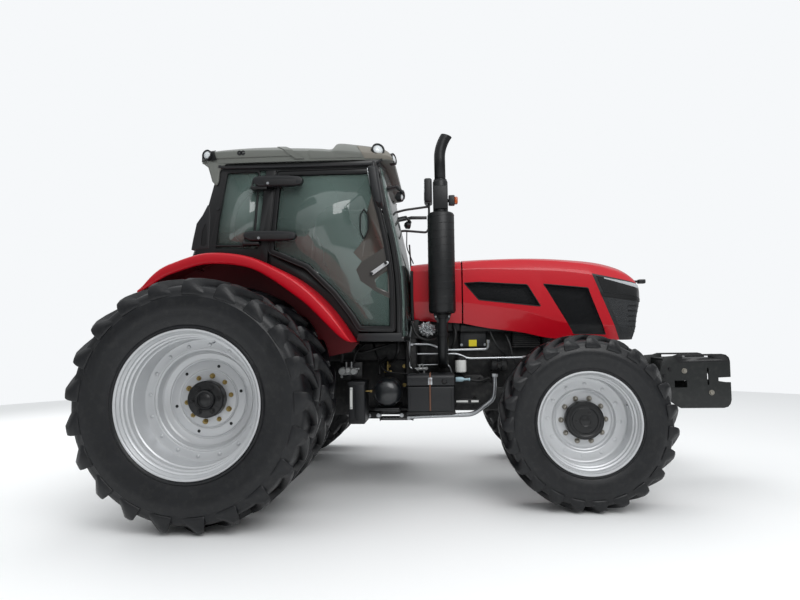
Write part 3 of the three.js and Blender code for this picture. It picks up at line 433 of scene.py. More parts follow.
FLOOR = surface("pale_studio_floor", "#F3F4F4", 0.8, grain=20.0, relief=0.02, drift=0.01, patch=3.0)
hold()
bpy.ops.mesh.primitive_circle_add(vertices=96, radius=11, fill_type="NGON", location=(0, 0, -0.001))
floor = fresh("studio_floor")
floor.data.materials.append(FLOOR)

world = bpy.data.worlds.new("studio_sky")
bpy.context.scene.world = world
world.use_nodes = True
sky = world.node_tree
dome = sky.nodes["Background"]
height = add_node(sky, "SeparateXYZ", {0: add_node(sky, "TexCoord").outputs["Generated"]})
shade = add_node(sky, "MapRange", {"Value": height.outputs["Z"], 1: -0.05, 2: 0.75, 3: 0.20,
    4: 0.95})
seen = add_node(sky, "LightPath").outputs["Is Camera Ray"]
strength = add_node(sky, "Mix", {0: seen, 2: shade.outputs[0], 3: 1.0}, data_type="FLOAT")
dome.inputs["Color"].default_value = colour("#F6F8FA")
sky.links.new(strength.outputs[0], dome.inputs["Strength"])
for name, spot, aim, wide, power in (
        ("key_panel", (2.5, -6.5, 6.5), (0, 0, 1.0), 5.0, 300),
        ("top_panel", (-0.5, 1.5, 8.0), (0, 0, 1.0), 6.0, 170),
        ("tail_panel", (-7.0, 3.0, 4.5), (0, 0, 1.2), 4.0, 140)):
    bpy.ops.object.light_add(type="AREA", location=spot)
    panel = bpy.context.object
    panel.name = name
    panel.data.size = wide
    panel.data.energy = power
    panel.visible_glossy = name == "key_panel"
    panel.rotation_euler = (Vector(aim) - Vector(spot)).to_track_quat("-Z", "Y").to_euler()
bpy.context.scene.view_settings.view_transform = "Standard"
print("camera at", [round(v, 3) for v in EYE])

# %% [markdown]
# A farm tyre is a smooth casing with two rows of lugs. The casing is a lathe shape: its half section
# runs from the bead over the sidewall to the crown. Each lug is a bar that leans back from the middle
# of the tread to the shoulder and hooks down over the sidewall, where its leading side runs out in a
# long slope and its trailing side drops steeply. One lug is shaped and then copied round the wheel.

# %% Tyre sizes
TYRES = {"rear": {"radius": 861, "half": 232, "bead": 489, "seat": 184, "lugs": 21,
    "pitch_lead": 205, "casing": [(489, 184), (512, 196), (520, 207), (528, 207), (534, 200),
    (560, 211), (600, 221), (640, 226), (645, 228), (690, 229), (728, 227), (733, 222), (760, 219),
    (786, 210), (798, 190), (806, 160), (811, 100), (813, 0)], "foot": [(812, -14), (811, 60),
    (806, 130), (796, 184), (780, 205), (760, 214), (744, 219), (735, 221)], "face": [(861, -10),
    (861, 60), (858, 130), (850, 190), (831, 216), (802, 228), (772, 231), (744, 228)],
    "trail": [32, 33, 35, 38, 42, 46, 46, 42], "lead": [32, 35, 44, 78, 124, 150, 150, 120],
    "top_trail": [22, 22, 23, 24, 26, 28, 30, 32], "top_lead": [22, 22, 23, 24, 24, 36, 70, 90],},
    "front": {"radius": 649, "half": 188, "bead": 361, "seat": 151, "lugs": 23, "pitch_lead": 165,
    "casing": [(361, 151), (380, 160), (388, 170), (395, 170), (401, 164), (425, 174), (455, 181),
    (488, 184), (493, 186), (520, 185), (543, 182), (548, 177), (572, 174), (590, 166), (600, 148),
    (605, 122), (609, 80), (611, 0)], "foot": [(610, -12), (609, 45), (605, 100), (598, 144),
    (585, 163), (570, 171), (556, 175), (549, 177)], "face": [(649, -9), (649, 45), (646, 100),
    (640, 150), (624, 174), (602, 184), (578, 187), (556, 184)],
    "trail": [23, 24, 26, 28, 31, 34, 34, 31], "lead": [23, 26, 33, 56, 86, 104, 104, 84],
    "top_trail": [16, 16, 17, 18, 19, 20, 22, 24], "top_lead": [16, 16, 17, 17, 18, 26, 48, 62],},}


# %% One lug, and a tyre of them
def lug(name, tyre, centre, side, phase):
    """side is +1 or -1 across the tread; phase is the wheel angle of its outer end, from the top."""
    stations = len(tyre["foot"])
    hold()
    bpy.ops.mesh.primitive_circle_add(vertices=4, fill_type="NGON")
    piece = fresh(name)
    lay(piece, [Vector((0, y, z)) for y, z in ((-1, -1), (1, -1), (1, 1), (-1, 1))])
    open_mesh()
    for _ in range(stations - 1):
        bpy.ops.mesh.extrude_region_move(TRANSFORM_OT_translate={"value": (1, 0, 0)})
    close_mesh()
    for vertex in piece.data.vertices:
        i = round(vertex.co.x)
        ahead_side = vertex.co.y > 0
        raised = vertex.co.z > 0
        r, y = tyre["face" if raised else "foot"][i]
        reach = tyre["lead" if ahead_side else "trail"][i]
        if raised:
            reach = tyre["top_lead" if ahead_side else "top_trail"][i]
        lead = tyre["pitch_lead"] * (1 - min(y / tyre["half"], 1)) ** 1.15
        arc = lead + (reach if ahead_side else -reach)
        angle = phase + arc / tyre["radius"]
        vertex.co = centre + Vector((math.sin(angle) * r * MM, side * y * MM,
                                     math.cos(angle) * r * MM))
    piece.data.update()
    return soften(outward(piece), 0.007, 2, 25)


def tyre(name, kind, centre, body, node):
    size = TYRES[kind]
    half = [(r * MM, y * MM) for r, y in size["casing"]]
    bead = [((size["bead"] - 2) * MM, -y * MM) for y in (-size["seat"] * 0.93, size["seat"] * 0.93)]
    section = half + [(r, -y) for r, y in reversed(half[:-1])]
    casing = turned(name + "_casing", section + bead[::-1], centre, steps=90, degrees=40)
    step = 2 * math.pi / size["lugs"]
    rows = []
    for side in (1, -1):
        first = lug(f"{name}_lugs_{'in' if side > 0 else 'out'}", size, centre, side,
                    step / 2 if side > 0 else 0)
        rows.append(round_about(first, size["lugs"], centre))
    whole = joined(name, [casing, *rows])
    return fit(whole, RUBBER, body, stands_for=[node])


REAR_OUT, REAR_IN, FRONT_Y = 1530, 930, 1003
REAR_HEIGHT, FRONT_HEIGHT, WHEELBASE, BOLT_RADIUS = 862, 650, 2781, 167.5
for tag, s in (("L", 1), ("R", -1)):
    tyre(f"rear_tyre_outer_tread_{tag}", "rear", at(0, s * REAR_OUT, REAR_HEIGHT),
        f"rear_wheel_{tag}", f"rear_tyre_outer_{tag}")
    tyre(f"rear_tyre_inner_tread_{tag}", "rear", at(0, s * REAR_IN, REAR_HEIGHT),
        f"rear_wheel_{tag}", f"rear_tyre_inner_{tag}")
    tyre(f"front_tyre_tread_{tag}", "front", at(WHEELBASE, s * FRONT_Y, FRONT_HEIGHT),
        f"front_wheel_{tag}", f"front_tyre_{tag}")
print("tyres", [round(PIECES[0].dimensions[i], 3) for i in range(3)])

# %% [markdown]
# A rim is one steel section, rolled and welded: a lip that holds the tyre, a ledge for its bead and a
# deep barrel that steps down to the disc. It's turned as one closed section. Nuts, weld bumps and
# the dark discs that are painted shade over the disc's holes repeat round the axle, so each is made
# once and copied round.

# %% Rims
OUTER_RIM = [(508, 199), (504, 203), (496, 202), (491, 196), (489, 184), (480, 172), (476, 166),
    (475, 150), (472, 147), (463, 143), (462, 116), (459, 112), (450, 108), (448, 66), (445, 62),
    (438, 58), (436, -108), (432, -114), (424, -117), (374, -119), (370, -121), (366, -128),
    (358, -130), (352, -136), (346, -170), (340, -186), (330, -196), (300, -203), (292, -207),
    (286, -215), (280, -217), (276, -212), (270, -210), (222, -210), (216, -213), (212, -218),
    (206, -219), (202, -214), (196, -212), (129, -212), (128, -214), (128, -239), (132, -240),
    (300, -240), (332, -222), (352, -206), (362, -180), (372, -140), (434, -134), (446, -142),
    (450, -150), (474, -168), (481, -186), (491, -200), (504, -203), (508, -199), (507, -194),
    (497, -190), (489, -184), (485, -174), (484, -160), (466, -132), (462, -110), (462, 40),
    (470, 60), (474, 110), (484, 150), (485, 174), (489, 184.5), (497, 190), (507, 194),]
INNER_RIM = [
    (508, 199), (504, 203), (494, 202), (489, 190), (476, 182), (472, 176), (440, 210), (410, 240),
    (360, 276), (330, 288), (300, 299), (132, 299), (128, 297), (128, 283), (132, 281), (300, 281),
    (350, 262), (400, 228), (450, 160), (468, 130), (470, 60), (448, 40), (447, -60), (470, -90),
    (476, -166), (489, -186), (494, -202), (504, -203), (508, -199), (507, -194), (489, -184),
    (484, -160), (480, -110), (458, -64), (458, 40), (482, 80), (484, 160), (489, 184), (507, 194),
]
FRONT_RIM = [
    (381, 166), (377, 170), (369, 169), (364, 163), (362, 152), (354, 142), (350, 134), (349, 122),
    (345, 118), (338, 114), (337, 88), (333, 84), (326, 80), (324, 10), (322, -26), (316, -36),
    (308, -40), (296, -42), (246, -43), (240, -46), (236, -56), (230, -66), (222, -70), (214, -68),
    (206, -63), (129, -62), (128, -64), (128, -80), (132, -81), (220, -86), (250, -74), (262, -60),
    (312, -56), (334, -56), (338, -60), (346, -110), (350, -140), (362, -156), (368, -169),
    (377, -170), (381, -166), (380, -161), (362, -152), (358, -138), (352, -100), (346, -60),
    (338, -40), (338, 40), (348, 66), (352, 110), (358, 138), (362, 152.4), (380, 161),
]


def hexagon(name, centre, across, height, out, dome=0.3):
    """A nut or bolt head: a six-sided prism with a washer face and a rounded top."""
    r = across / 2 / math.cos(math.pi / 6)
    stud = turned(name + "_stud", [(0, 0), (r * 0.5, 0), (r * 0.5, height * 1.25),
        (r * 0.36, height * 1.4), (0, height * 1.4)], centre, along=out, steps=12)
    nut = turned(name, [(0, 0), (r, 0), (r, height * 0.85), (r * 0.86, height), (0, height)],
                 centre, along=out, steps=6, degrees=20)
    washer = turned(name + "_washer", [(0, 0), (r * 1.18, 0), (r * 1.18, height * dome * 0.5),
        (0, height * dome * 0.5)], centre, along=out, steps=16)
    return joined(name, [nut, stud, washer])


def bump(name, centre, radius, height, out):
    return turned(name, [(0, 0), (radius, 0), (radius * 0.92, height * 0.7), (radius * 0.6, height),
                         (0, height)], centre, along=out, steps=14, degrees=50)


def from_hub(x, y, z, radius, angle):
    """A point on a circle about an axle, at an angle from the top towards the front."""
    return at(x + radius * math.sin(angle), y, z + radius * math.cos(angle))


def rear_wheel_steel(tag, s):
    body = f"rear_wheel_{tag}"
    out = Vector((0, s, 0))
    hub = at(0, 0, REAR_HEIGHT)
    section = [(r * MM, s * y * MM) for r, y in OUTER_RIM]
    rim = turned(f"rear_rim_outer_steel_{tag}", section, at(0, s * REAR_OUT, REAR_HEIGHT),
        steps=110, degrees=24)
    bumps = bump(f"rim_bumps_{tag}", from_hub(0, s * (REAR_OUT - 119), REAR_HEIGHT, 398, 0.1),
        0.014, 0.010, out)
    rim = joined(rim.name, [rim, round_about(bumps, 16, hub)])
    fit(rim, SILVER, body, stands_for=[f"rear_rim_outer_{tag}"])
    section = [(r * MM, s * y * MM) for r, y in INNER_RIM]
    fit(turned(f"rear_rim_inner_steel_{tag}", section, at(0, s * REAR_IN, REAR_HEIGHT), steps=90,
        degrees=24), SILVER, body, stands_for=[f"rear_rim_inner_{tag}"])
    face = REAR_OUT - 212
    big = hexagon(f"rear_nuts_large_{tag}", from_hub(0, s * face, REAR_HEIGHT, BOLT_RADIUS, 0.15),
        0.030, 0.024, out)
    bigs = [big]
    for i, name in ((3, "b"), (5, "c"), (8, "d")):
        bigs.append(turn(twin(big, f"rear_nuts_large_{tag}_{name}"), math.tau * i / 10, hub))
    fit(joined(f"rear_nuts_large_{tag}", bigs), ZINC, body)
    small = hexagon(f"rear_nuts_small_{tag}", from_hub(0, s * face, REAR_HEIGHT, BOLT_RADIUS,
        0.15 + math.tau / 10), 0.026, 0.020, out)
    smalls = [small]
    for i in (1, 3, 5, 6, 8):
        smalls.append(turn(twin(small, f"rear_nuts_small_{tag}_{i}"), math.tau * i / 10, hub))
    fit(joined(f"rear_nuts_small_{tag}", smalls), ZINC, body)
    # The holes in the disc are not cut: a thin black disc over each one is painted shade for the dark space
    # seen through it.
    hole = turned(f"rim_holes_{tag}", [(0, 0), (0.011, 0), (0.012, 0.0012), (0, 0.0012)],
                  from_hub(0, s * (REAR_OUT - 210.5), REAR_HEIGHT, 246, 0.3), along=out, steps=16)
    fit(round_about(hole, 6, hub), SEAL, body)
    valve = pipe(f"rear_valve_{tag}", [from_hub(0, s * (REAR_OUT + 66), REAR_HEIGHT, 452, 0.35),
        from_hub(0, s * (REAR_OUT + 92), REAR_HEIGHT, 436, 0.35), from_hub(0, s * (REAR_OUT + 120),
        REAR_HEIGHT, 436, 0.35)], 0.006, 0.01)
    fit(valve, STEEL, body)


HUB_FACE = [
    (0, 12), (20, 12), (34, 8), (42, 2), (46, 0), (52, 0), (56, 8), (66, 10), (72, 4), (76, -6),
    (122, -6), (130, -10), (134, -16), (134, -84), (126, -92), (118, -92), (118, -170), (0, -170),
]


def rear_hub(tag, s):
    body = f"rear_wheel_{tag}"
    out = Vector((0, s, 0))
    hub = at(0, 0, REAR_HEIGHT)
    section = [(r * MM, s * y * MM) for r, y in HUB_FACE]
    piece = turned(f"rear_wedge_hub_{tag}", section, at(0, s * 1402, REAR_HEIGHT), steps=60,
        degrees=30)
    shaft = turned(f"rear_shaft_{tag}", [(0, 0), (0.055, 0), (0.055, -s * 0.60), (0, -s * 0.60)],
                   at(0, s * 1240, REAR_HEIGHT), steps=32)
    flange = turned(f"rear_flange_{tag}", [(0.05, 0), (0.228, 0), (0.230, -s * 0.004),
        (0.230, -s * 0.056), (0.226, -s * 0.06), (0.05, -s * 0.06)], at(0, s * 1289.7, REAR_HEIGHT),
        steps=60)
    fit(joined(piece.name, [piece, shaft, flange]), FRAME_BLACK, body,
        [f"rear_hub_{tag}"])
    bolt = hexagon(f"hub_bolts_{tag}", from_hub(0, s * 1394, REAR_HEIGHT, 97, 0.45), 0.024, 0.012,
        out)
    fit(round_about(bolt, 6, hub), CASTING, body)
    cup = turned(f"hub_cups_{tag}", [(0.013, 0), (0.020, 0), (0.020, s * 0.006),
        (0.0165, s * 0.0075), (0.013, s * 0.006)], from_hub(0, s * 1395, REAR_HEIGHT, 97, 0.45),
        steps=20)
    cups = round_about(cup, 6, hub)
    split = block(f"hub_split_{tag}", at(-1.5, s * 1393, REAR_HEIGHT + 78),
        at(1.5, s * 1397.5, REAR_HEIGHT + 128), 0)
    fit(joined(cups.name, [cups, round_about(split, 3, hub)]), SEAL, body)


def front_wheel_steel(tag, s):
    body = f"front_wheel_{tag}"
    out = Vector((0, s, 0))
    hub = at(WHEELBASE, 0, FRONT_HEIGHT)
    section = [(r * MM, s * y * MM) for r, y in FRONT_RIM]
    rim = turned(f"front_rim_steel_{tag}", section, at(WHEELBASE, s * FRONT_Y, FRONT_HEIGHT),
        steps=96, degrees=24)
    bumps = bump(f"front_bumps_{tag}", from_hub(WHEELBASE, s * (FRONT_Y - 43), FRONT_HEIGHT, 270,
        0.05), 0.016, 0.005, out)
    rim = joined(rim.name, [rim, round_about(bumps, 12, hub)])
    fit(rim, SILVER, body, stands_for=[f"front_rim_{tag}"])
    nut = hexagon(f"front_nuts_{tag}", from_hub(WHEELBASE, s * 941, FRONT_HEIGHT, BOLT_RADIUS, 0.3),
        0.030, 0.020, out)
    cap = bump(f"front_nut_caps_{tag}", from_hub(WHEELBASE, s * 958, FRONT_HEIGHT, BOLT_RADIUS,
        0.3), 0.013, 0.012, out)
    fit(round_about(joined(nut.name, [nut, cap]), 10, hub), DULL_ZINC, body)
    cover = [(0, 16), (18, 15), (30, 10), (38, 10), (44, 14), (92, 14), (100, 8), (112, 8),
        (118, 12), (134, 10), (142, 4), (145, -6), (145, -60), (140, -74), (127, -76), (127, -92),
        (0, -92)]
    cap = turned(f"front_planet_cover_{tag}", [(r * MM, s * y * MM) for r, y in cover],
                 at(WHEELBASE, s * 1000, FRONT_HEIGHT), steps=64, degrees=28)
    boss = bump(f"planet_bosses_{tag}", from_hub(WHEELBASE, s * 1013, FRONT_HEIGHT, 66, 0.5), 0.012,
        0.004, out)
    rib = block(f"planet_ribs_{tag}", at(2777, s * 1008, FRONT_HEIGHT + 119),
        at(2785, s * 1011, FRONT_HEIGHT + 133), 0.001)
    ring = round_about(rib, 10, hub)
    fit(joined(cap.name, [cap, round_about(boss, 3, hub), ring]), FRAME_BLACK, body)
    valve = pipe(f"front_valve_{tag}", [from_hub(WHEELBASE, s * (FRONT_Y + 20), FRONT_HEIGHT, 328,
        1.2), from_hub(WHEELBASE, s * (FRONT_Y + 46), FRONT_HEIGHT, 312, 1.2), from_hub(WHEELBASE,
        s * (FRONT_Y + 84), FRONT_HEIGHT, 312, 1.2)], 0.005, 0.01)
    fit(valve, STEEL, body)


for tag, s in (("L", 1), ("R", -1)):
    rear_wheel_steel(tag, s)
    rear_hub(tag, s)
    front_wheel_steel(tag, s)
print(len(PIECES), "wheel pieces")

# %% [markdown]
# The bonnet is a pressed skin: long smooth curves from front to back, crisp lines across. It's laid
# as a grid of ribs, each rib a half outline mirrored over the middle, so every station along the
# bonnet has the same count of points. The skin gets its thickness afterwards, and the windows are
# cut through it. The cowl behind the seam is pressed to the same lines.

# %% Skins laid over ribs
def rib(x, corners):
    """corners: (y, z, bend) from the crown outwards and down, in mm; bend rounds that corner."""
    half = [Vector((0, *corners[0][:2]))]
    for (ya, za, _), (yb, zb, bend), (yc, zc, _) in zip(corners, corners[1:], corners[2:]):
        corner = Vector((0, yb, zb))
        for side, step in ((Vector((0, ya, za)), 0), (None, 1), (Vector((0, yc, zc)), 2)):
            if side is None:
                before, after = half[-1], corner + (Vector((0, yc, zc)) - corner).normalized(
                    ) * bend
                half.append(before * 0.25 + corner * 0.5 + after * 0.25)
            else:
                half.append(corner + (side - corner).normalized() * bend)
    half.append(Vector((0, *corners[-1][:2])))
    ring = [Vector((0, -p.y, p.z)) for p in reversed(half[1:])] + half
    return [at(x, p.y, p.z) for p in ring]


def skin(name, ribs):
    """A grid with one row of vertices on each rib."""
    hold()
    bpy.ops.mesh.primitive_grid_add(x_subdivisions=len(ribs[0]) - 1, y_subdivisions=len(ribs) - 1)
    piece = fresh(name)
    lay(piece, [point for row in ribs for point in row])
    return piece


def between(stations, count):
    """Smooth stations between the given ones: a curve through every column of numbers."""
    full = []
    for i in range(len(stations) - 1):
        a, b = stations[i], stations[i + 1]
        before, after = stations[max(i - 1, 0)], stations[min(i + 2, len(stations) - 1)]
        for k in range(count):
            t = k / count
            row = []
            for p, q, r, s in zip(before, a, b, after):
                row.append(q + 0.5 * t * (r - p + t * (2 * p - 5 * q + 4 * r - s
                                                       + t * (3 * (q - r) + s - p))))
            full.append(row)
    return full + [list(stations[-1])]


def thicken(piece, inward):
    """Gives a skin its sheet thickness on its inner side."""
    hold(piece)
    wall = piece.modifiers.new("wall", "SOLIDIFY")
    wall.thickness = inward
    wall.offset = -1
    bpy.ops.object.modifier_apply(modifier=wall.name)
    return piece


def face_out(piece, middle):
    """Turns an open skin's faces away from a point inside it."""
    hold(piece)
    open_mesh()
    bpy.ops.mesh.normals_make_consistent(inside=False)
    close_mesh()
    away = sum((face.center - middle).dot(face.normal) * face.area for face in piece.data.polygons)
    if away < 0:
        piece.data.flip_normals()
    return piece


def cut_plane(piece, point, normal):
    """Keeps what is behind the plane."""
    hold(piece)
    open_mesh()
    bpy.ops.mesh.bisect(plane_co=point, plane_no=normal, clear_outer=True, use_fill=False)
    close_mesh()
    return piece


def window(piece, outline, y0, y1):
    """Cuts an opening through a panel: the outline is in X and Z, the cut runs from y0 to y1."""
    tool = plate("cutter", side_on(y0, outline), (0, (y1 - y0) * MM, 0), edge=0)
    hold(piece)
    hole = piece.modifiers.new("hole", "BOOLEAN")
    hole.object = tool
    hole.solver = "EXACT"
    bpy.ops.object.modifier_apply(modifier=hole.name)
    bpy.data.objects.remove(tool)
    return piece


# %% Bonnet stations
# x, crown, shoulder, crease, lower crease, lower edge, half width, in mm from the rear axle
HOOD = [
    (1904, 1985, 1940, 1878, 1590, 1409, 450), (2114, 1992, 1950, 1880, 1560, 1366, 450),
    (2400, 1996, 1952, 1868, 1514, 1326, 450), (2600, 1992, 1944, 1858, 1452, 1280, 450),
    (2780, 1981, 1929, 1846, 1400, 1262, 450), (3003, 1961, 1898, 1812, 1380, 1251, 450),
    (3150, 1935, 1864, 1782, 1372, 1250, 446), (3288, 1890, 1816, 1742, 1362, 1250, 436),
    (3372, 1836, 1766, 1712, 1352, 1252, 414), (3410, 1774, 1724, 1688, 1345, 1256, 372),
    (3436, 1688, 1654, 1630, 1338, 1262, 306), (3454, 1600, 1586, 1566, 1335, 1272, 240),
]
COWL = [(1452, 1952, 1912, 1866, 1600, 1442, 446), (1600, 1966, 1925, 1870, 1598, 1430, 449),
        (1892, 1984, 1939, 1878, 1590, 1410, 450)]


def hood_rib(row):
    x, crown, shoulder, crease, low_crease, low, half = row
    return rib(x, [(0, crown, 0), (half * 0.52, crown - (crown - shoulder) * 0.16, 60),
                   (half - 46, shoulder + 6, 22), (half, crease, 6),
                   (half - 1, low_crease, 8), (half - 46, low, 0)])


hood_skin = skin("hood_skin", [hood_rib(row) for row in between(HOOD, 5)])
hood_skin = face_out(hood_skin, at(2600, 0, 1500))
tuck_from = at(3300, 0, 1580)
for vertex in hood_skin.data.vertices:
    ahead_by, below_by = vertex.co.x - tuck_from.x, tuck_from.z - vertex.co.z
    if ahead_by > 0 and below_by > 0:
        vertex.co.x -= 1.5 * ahead_by * below_by
NOSE_EDGE = (at(3003, 0, 1819), Vector((0.93, 0, 0.37)).normalized())
BEAK_EDGE = (at(3003, 0, 1822), Vector((-0.222, 0, -1)).normalized())
print("skin", len(hood_skin.data.polygons), "faces")

# %% Bonnet shell with its windows
WINDOWS = {
    "rear": [(1916, 1757), (2052, 1763), (2455, 1733), (2565, 1546), (2040, 1609)],
    "front": [(2592, 1737), (2968, 1697), (3112, 1300), (2840, 1308)],
}
shell = twin(hood_skin, "bonnet_panel")
cut_plane(shell, *NOSE_EDGE)
thicken(shell, 0.006)
for outline in WINDOWS.values():
    window(shell, outline, -600, 600)
fit(smooth(shell, 24), RED, "bonnet", stands_for=["bonnet_shell"])

beak = twin(hood_skin, "bonnet_beak")
cut_plane(beak, NOSE_EDGE[0], -NOSE_EDGE[1])
cut_plane(beak, *BEAK_EDGE)
thicken(beak, 0.006)
fit(smooth(beak, 24), RED, "bonnet")

cowl = skin("rear_cowl_panel", [hood_rib(row) for row in between(COWL, 4)])
face_out(cowl, at(1700, 0, 1500))
thicken(cowl, 0.006)
fit(smooth(cowl, 24), RED)
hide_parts("rear_cowl")
flange = [(-440, 1428), (-240, 1345), (240, 1345), (440, 1428), (440, 1860), (380, 1925),
    (-380, 1925), (-440, 1860)]
wall = plate("cowl_bulkhead", end_on(1726, flange), (0.006, 0, 0), 0.001)
fit(wall, FRAME_BLACK)


# %% [markdown]
# The side windows of the bonnet are pressed steel mesh, which lets the cooling air in. A wireframe
# of a fine grid gives real wires with real holes. A dark sheet behind is painted shade that keeps
# the engine bay dim.

# %% Mesh in the bonnet windows
def tuck(z):
    """How far the lower panel is tucked in at this height, in mm."""
    return 0.34 * max(0, 1390 - z)


def lattice(name, corners, y, pitch, wire, material, body):
    """A wire mesh between four corners in X and Z, rows about pitch mm apart."""
    (ax, az), (bx, bz), (cx, cz), (dx, dz) = corners
    columns = max(2, round(math.dist((ax, az), (bx, bz)) / pitch))
    rows = max(2, round(math.dist((ax, az), (dx, dz)) / pitch))
    hold()
    bpy.ops.mesh.primitive_grid_add(x_subdivisions=columns, y_subdivisions=rows)
    piece = fresh(name)
    spots = []
    for j in range(rows + 1):
        v = j / rows
        for i in range(columns + 1):
            u = i / columns
            x = (ax * (1 - u) + bx * u) * (1 - v) + (dx * (1 - u) + cx * u) * v
            z = (az * (1 - u) + bz * u) * (1 - v) + (dz * (1 - u) + cz * u) * v
            spots.append(at(x, math.copysign(abs(y) - tuck(z), y), z))
    lay(piece, spots)
    hold(piece)
    wires = piece.modifiers.new("wires", "WIREFRAME")
    wires.thickness = wire * MM
    bpy.ops.object.modifier_apply(modifier=wires.name)
    return fit(piece, material, body)


MESH = surface("black_wire_mesh", "#1B1D20", 0.4, metallic=0.3, grain=1.0, relief=0.1, drift=0.1)
for tag, s in (("L", 1), ("R", -1)):
    lattice(f"rear_mesh_{tag}", [(1912, 1766), (2462, 1742), (2576, 1538), (1960, 1600)], s * 441,
        13, 4, MESH, "bonnet")
    lattice(f"front_mesh_{tag}", [(2582, 1746), (2976, 1704), (3120, 1292), (2842, 1300)], s * 441,
        13, 4, MESH, "bonnet")
    # A dark sheet behind each side's mesh: painted shade standing for the dim engine bay.
    shade_sheet = plate(f"window_tray_{tag}", side_on(s * 392, ((1910, 1800), (2990, 1760), (3110, 1290),
        (2780, 1290), (2560, 1500), (1910, 1560))), (0, -s * 0.004, 0), 0.001)
    fit(shade_sheet, MOULDED, "bonnet")
    for name, outline in WINDOWS.items():
        loop = [at(x, s * (447.5 - tuck(z)), z) for x, z in outline]
        fit(pipe(f"{name}_window_seal_{tag}", loop + loop[:2], 0.005, 0.012, 2), SEAL, "bonnet")

# %% [markdown]
# The nose is one dark moulding behind the red beak. It carries a smoked headlamp lens on each
# corner with a white light strip in it, and a fine grille below and in front.

# %% Nose, lamps and grille
nose = twin(hood_skin, "nose_moulding")
cut_plane(nose, NOSE_EDGE[0] + NOSE_EDGE[1] * 0.0003, -NOSE_EDGE[1])
cut_plane(nose, BEAK_EDGE[0] + BEAK_EDGE[1] * 0.0003, -BEAK_EDGE[1])
hold(nose)
open_mesh("DESELECT")
close_mesh()
front_x = max(vertex.co.x for vertex in nose.data.vertices)
for edge in nose.data.edges:
    edge.select = all(front_x - nose.data.vertices[i].co.x < 1e-4 for i in edge.vertices)
bpy.ops.object.mode_set(mode="EDIT")
bpy.ops.mesh.edge_face_add()
close_mesh()
NOSE_SKIN = twin(nose, "nose_skin")
thicken(nose, 0.006)
fit(smooth(nose, 24), MOULDED, "bonnet", stands_for=["bonnet_nose"])


def nose_patch(name, planes, lift, thick, material):
    """A piece of the nose's own skin between planes, lifted off it and given a thickness."""
    piece = twin(NOSE_SKIN, name)
    for point, normal in planes:
        cut_plane(piece, point, Vector(normal).normalized())
    hold(piece)
    open_mesh()
    bpy.ops.transform.shrink_fatten(value=lift)
    close_mesh()
    thicken(piece, thick)
    return fit(smooth(piece, 30), material, "bonnet")


STRIP = surface("frosted_light_strip", "#B9BDC0", 0.25, grain=3.0, relief=0.05, drift=0.03,
                Coat_Weight=0.6)
LAMP_LOW = (at(3155, 0, 1648), (-0.13, 0, -1))
lens = nose_patch("headlamp_lens", [(at(3003, 0, 1806), (0.222, 0, 1)), LAMP_LOW,
    (at(3080, 0, 1700), (-0.93, 0, -0.37))], 0.003, 0.003, LENS_DARK)
for tag, s in (("L", 1), ("R", -1)):
    side = (at(0, s * 60, 0), (0, -s, 0))
    nose_patch(f"light_strip_{tag}", [side, (at(3128, 0, 1779), (0.215, 0, 1)),
        (at(3128, 0, 1700), (-0.95, 0, -0.3)), (at(3098, 0, 1776), (-0.29, 0, -1))], 0.0055, 0.003,
        STRIP)
nose_patch("grille_brow", [(at(3150, 0, 1646), (0.13, 0, 1)), (at(3150, 0, 1616), (-0.13, 0, -1))],
                   0.006, 0.010, FRAME_BLACK)
GRILLE = surface("fine_black_grille", "#1F2225", 0.45, metallic=0.1, grain=7.0, relief=0.9,
    drift=0.2, patch=0.05)
nose_patch("grille_panel", [(at(3150, 0, 1606), (0.13, 0, 1)),
                                     (at(3244, 0, 1300), (-0.93, 0, -0.37)),
                                     (at(0, 0, 1276), (0, 0, -1))], 0.002, 0.003, GRILLE)
for tag, s in (("L", 1), ("R", -1)):
    for i in range(6):
        z = 1320 + 44 * i
        nose_patch(f"grille_slat_{i}_{tag}", [(at(0, s * 20, 0), (0, -s, 0)),
            (at(0, 0, z + 4), (0, 0, 1)), (at(0, 0, z - 4), (0, 0, -1)),
            (at(3300, 0, 1300), (-1, 0, 0))], 0.005, 0.003, FRAME_BLACK)
horn = block("nose_camera_arm", at(3396, -14, 1772), at(3548, 14, 1792), 0.005)
fit(joined("nose_camera", [horn, block("nose_camera_head", at(3528, -30, 1762), at(3592, 30, 1800),
    0.008)]), MOULDED, "bonnet")
for spare in (hood_skin, NOSE_SKIN):
    bpy.data.objects.remove(spare)
print(len(PIECES), "pieces with the bonnet")

# %% [markdown]
# The roof is one large moulding with a hump over the front lamps. It's laid over ribs like the bonnet
# and closed underneath. Its raised rear panel and its lamp recess are pieces of the same skin, cut out
# by planes and lifted a few mm, so they follow its curve exactly.

# %% Roof
def pair(piece, material, body="chassis", stands_for=()):
    """Fits a right-hand piece, whose name ends in _R, and its mirror image on the left."""
    other = twin(piece, piece.name[:-1] + "L", flip=True)
    fit(piece, material, body, stands_for)
    fit(other, material, body[:-1] + "L" if body.endswith("_R") else body,
        [node[:-1] + "L" for node in stands_for])
    return piece, other


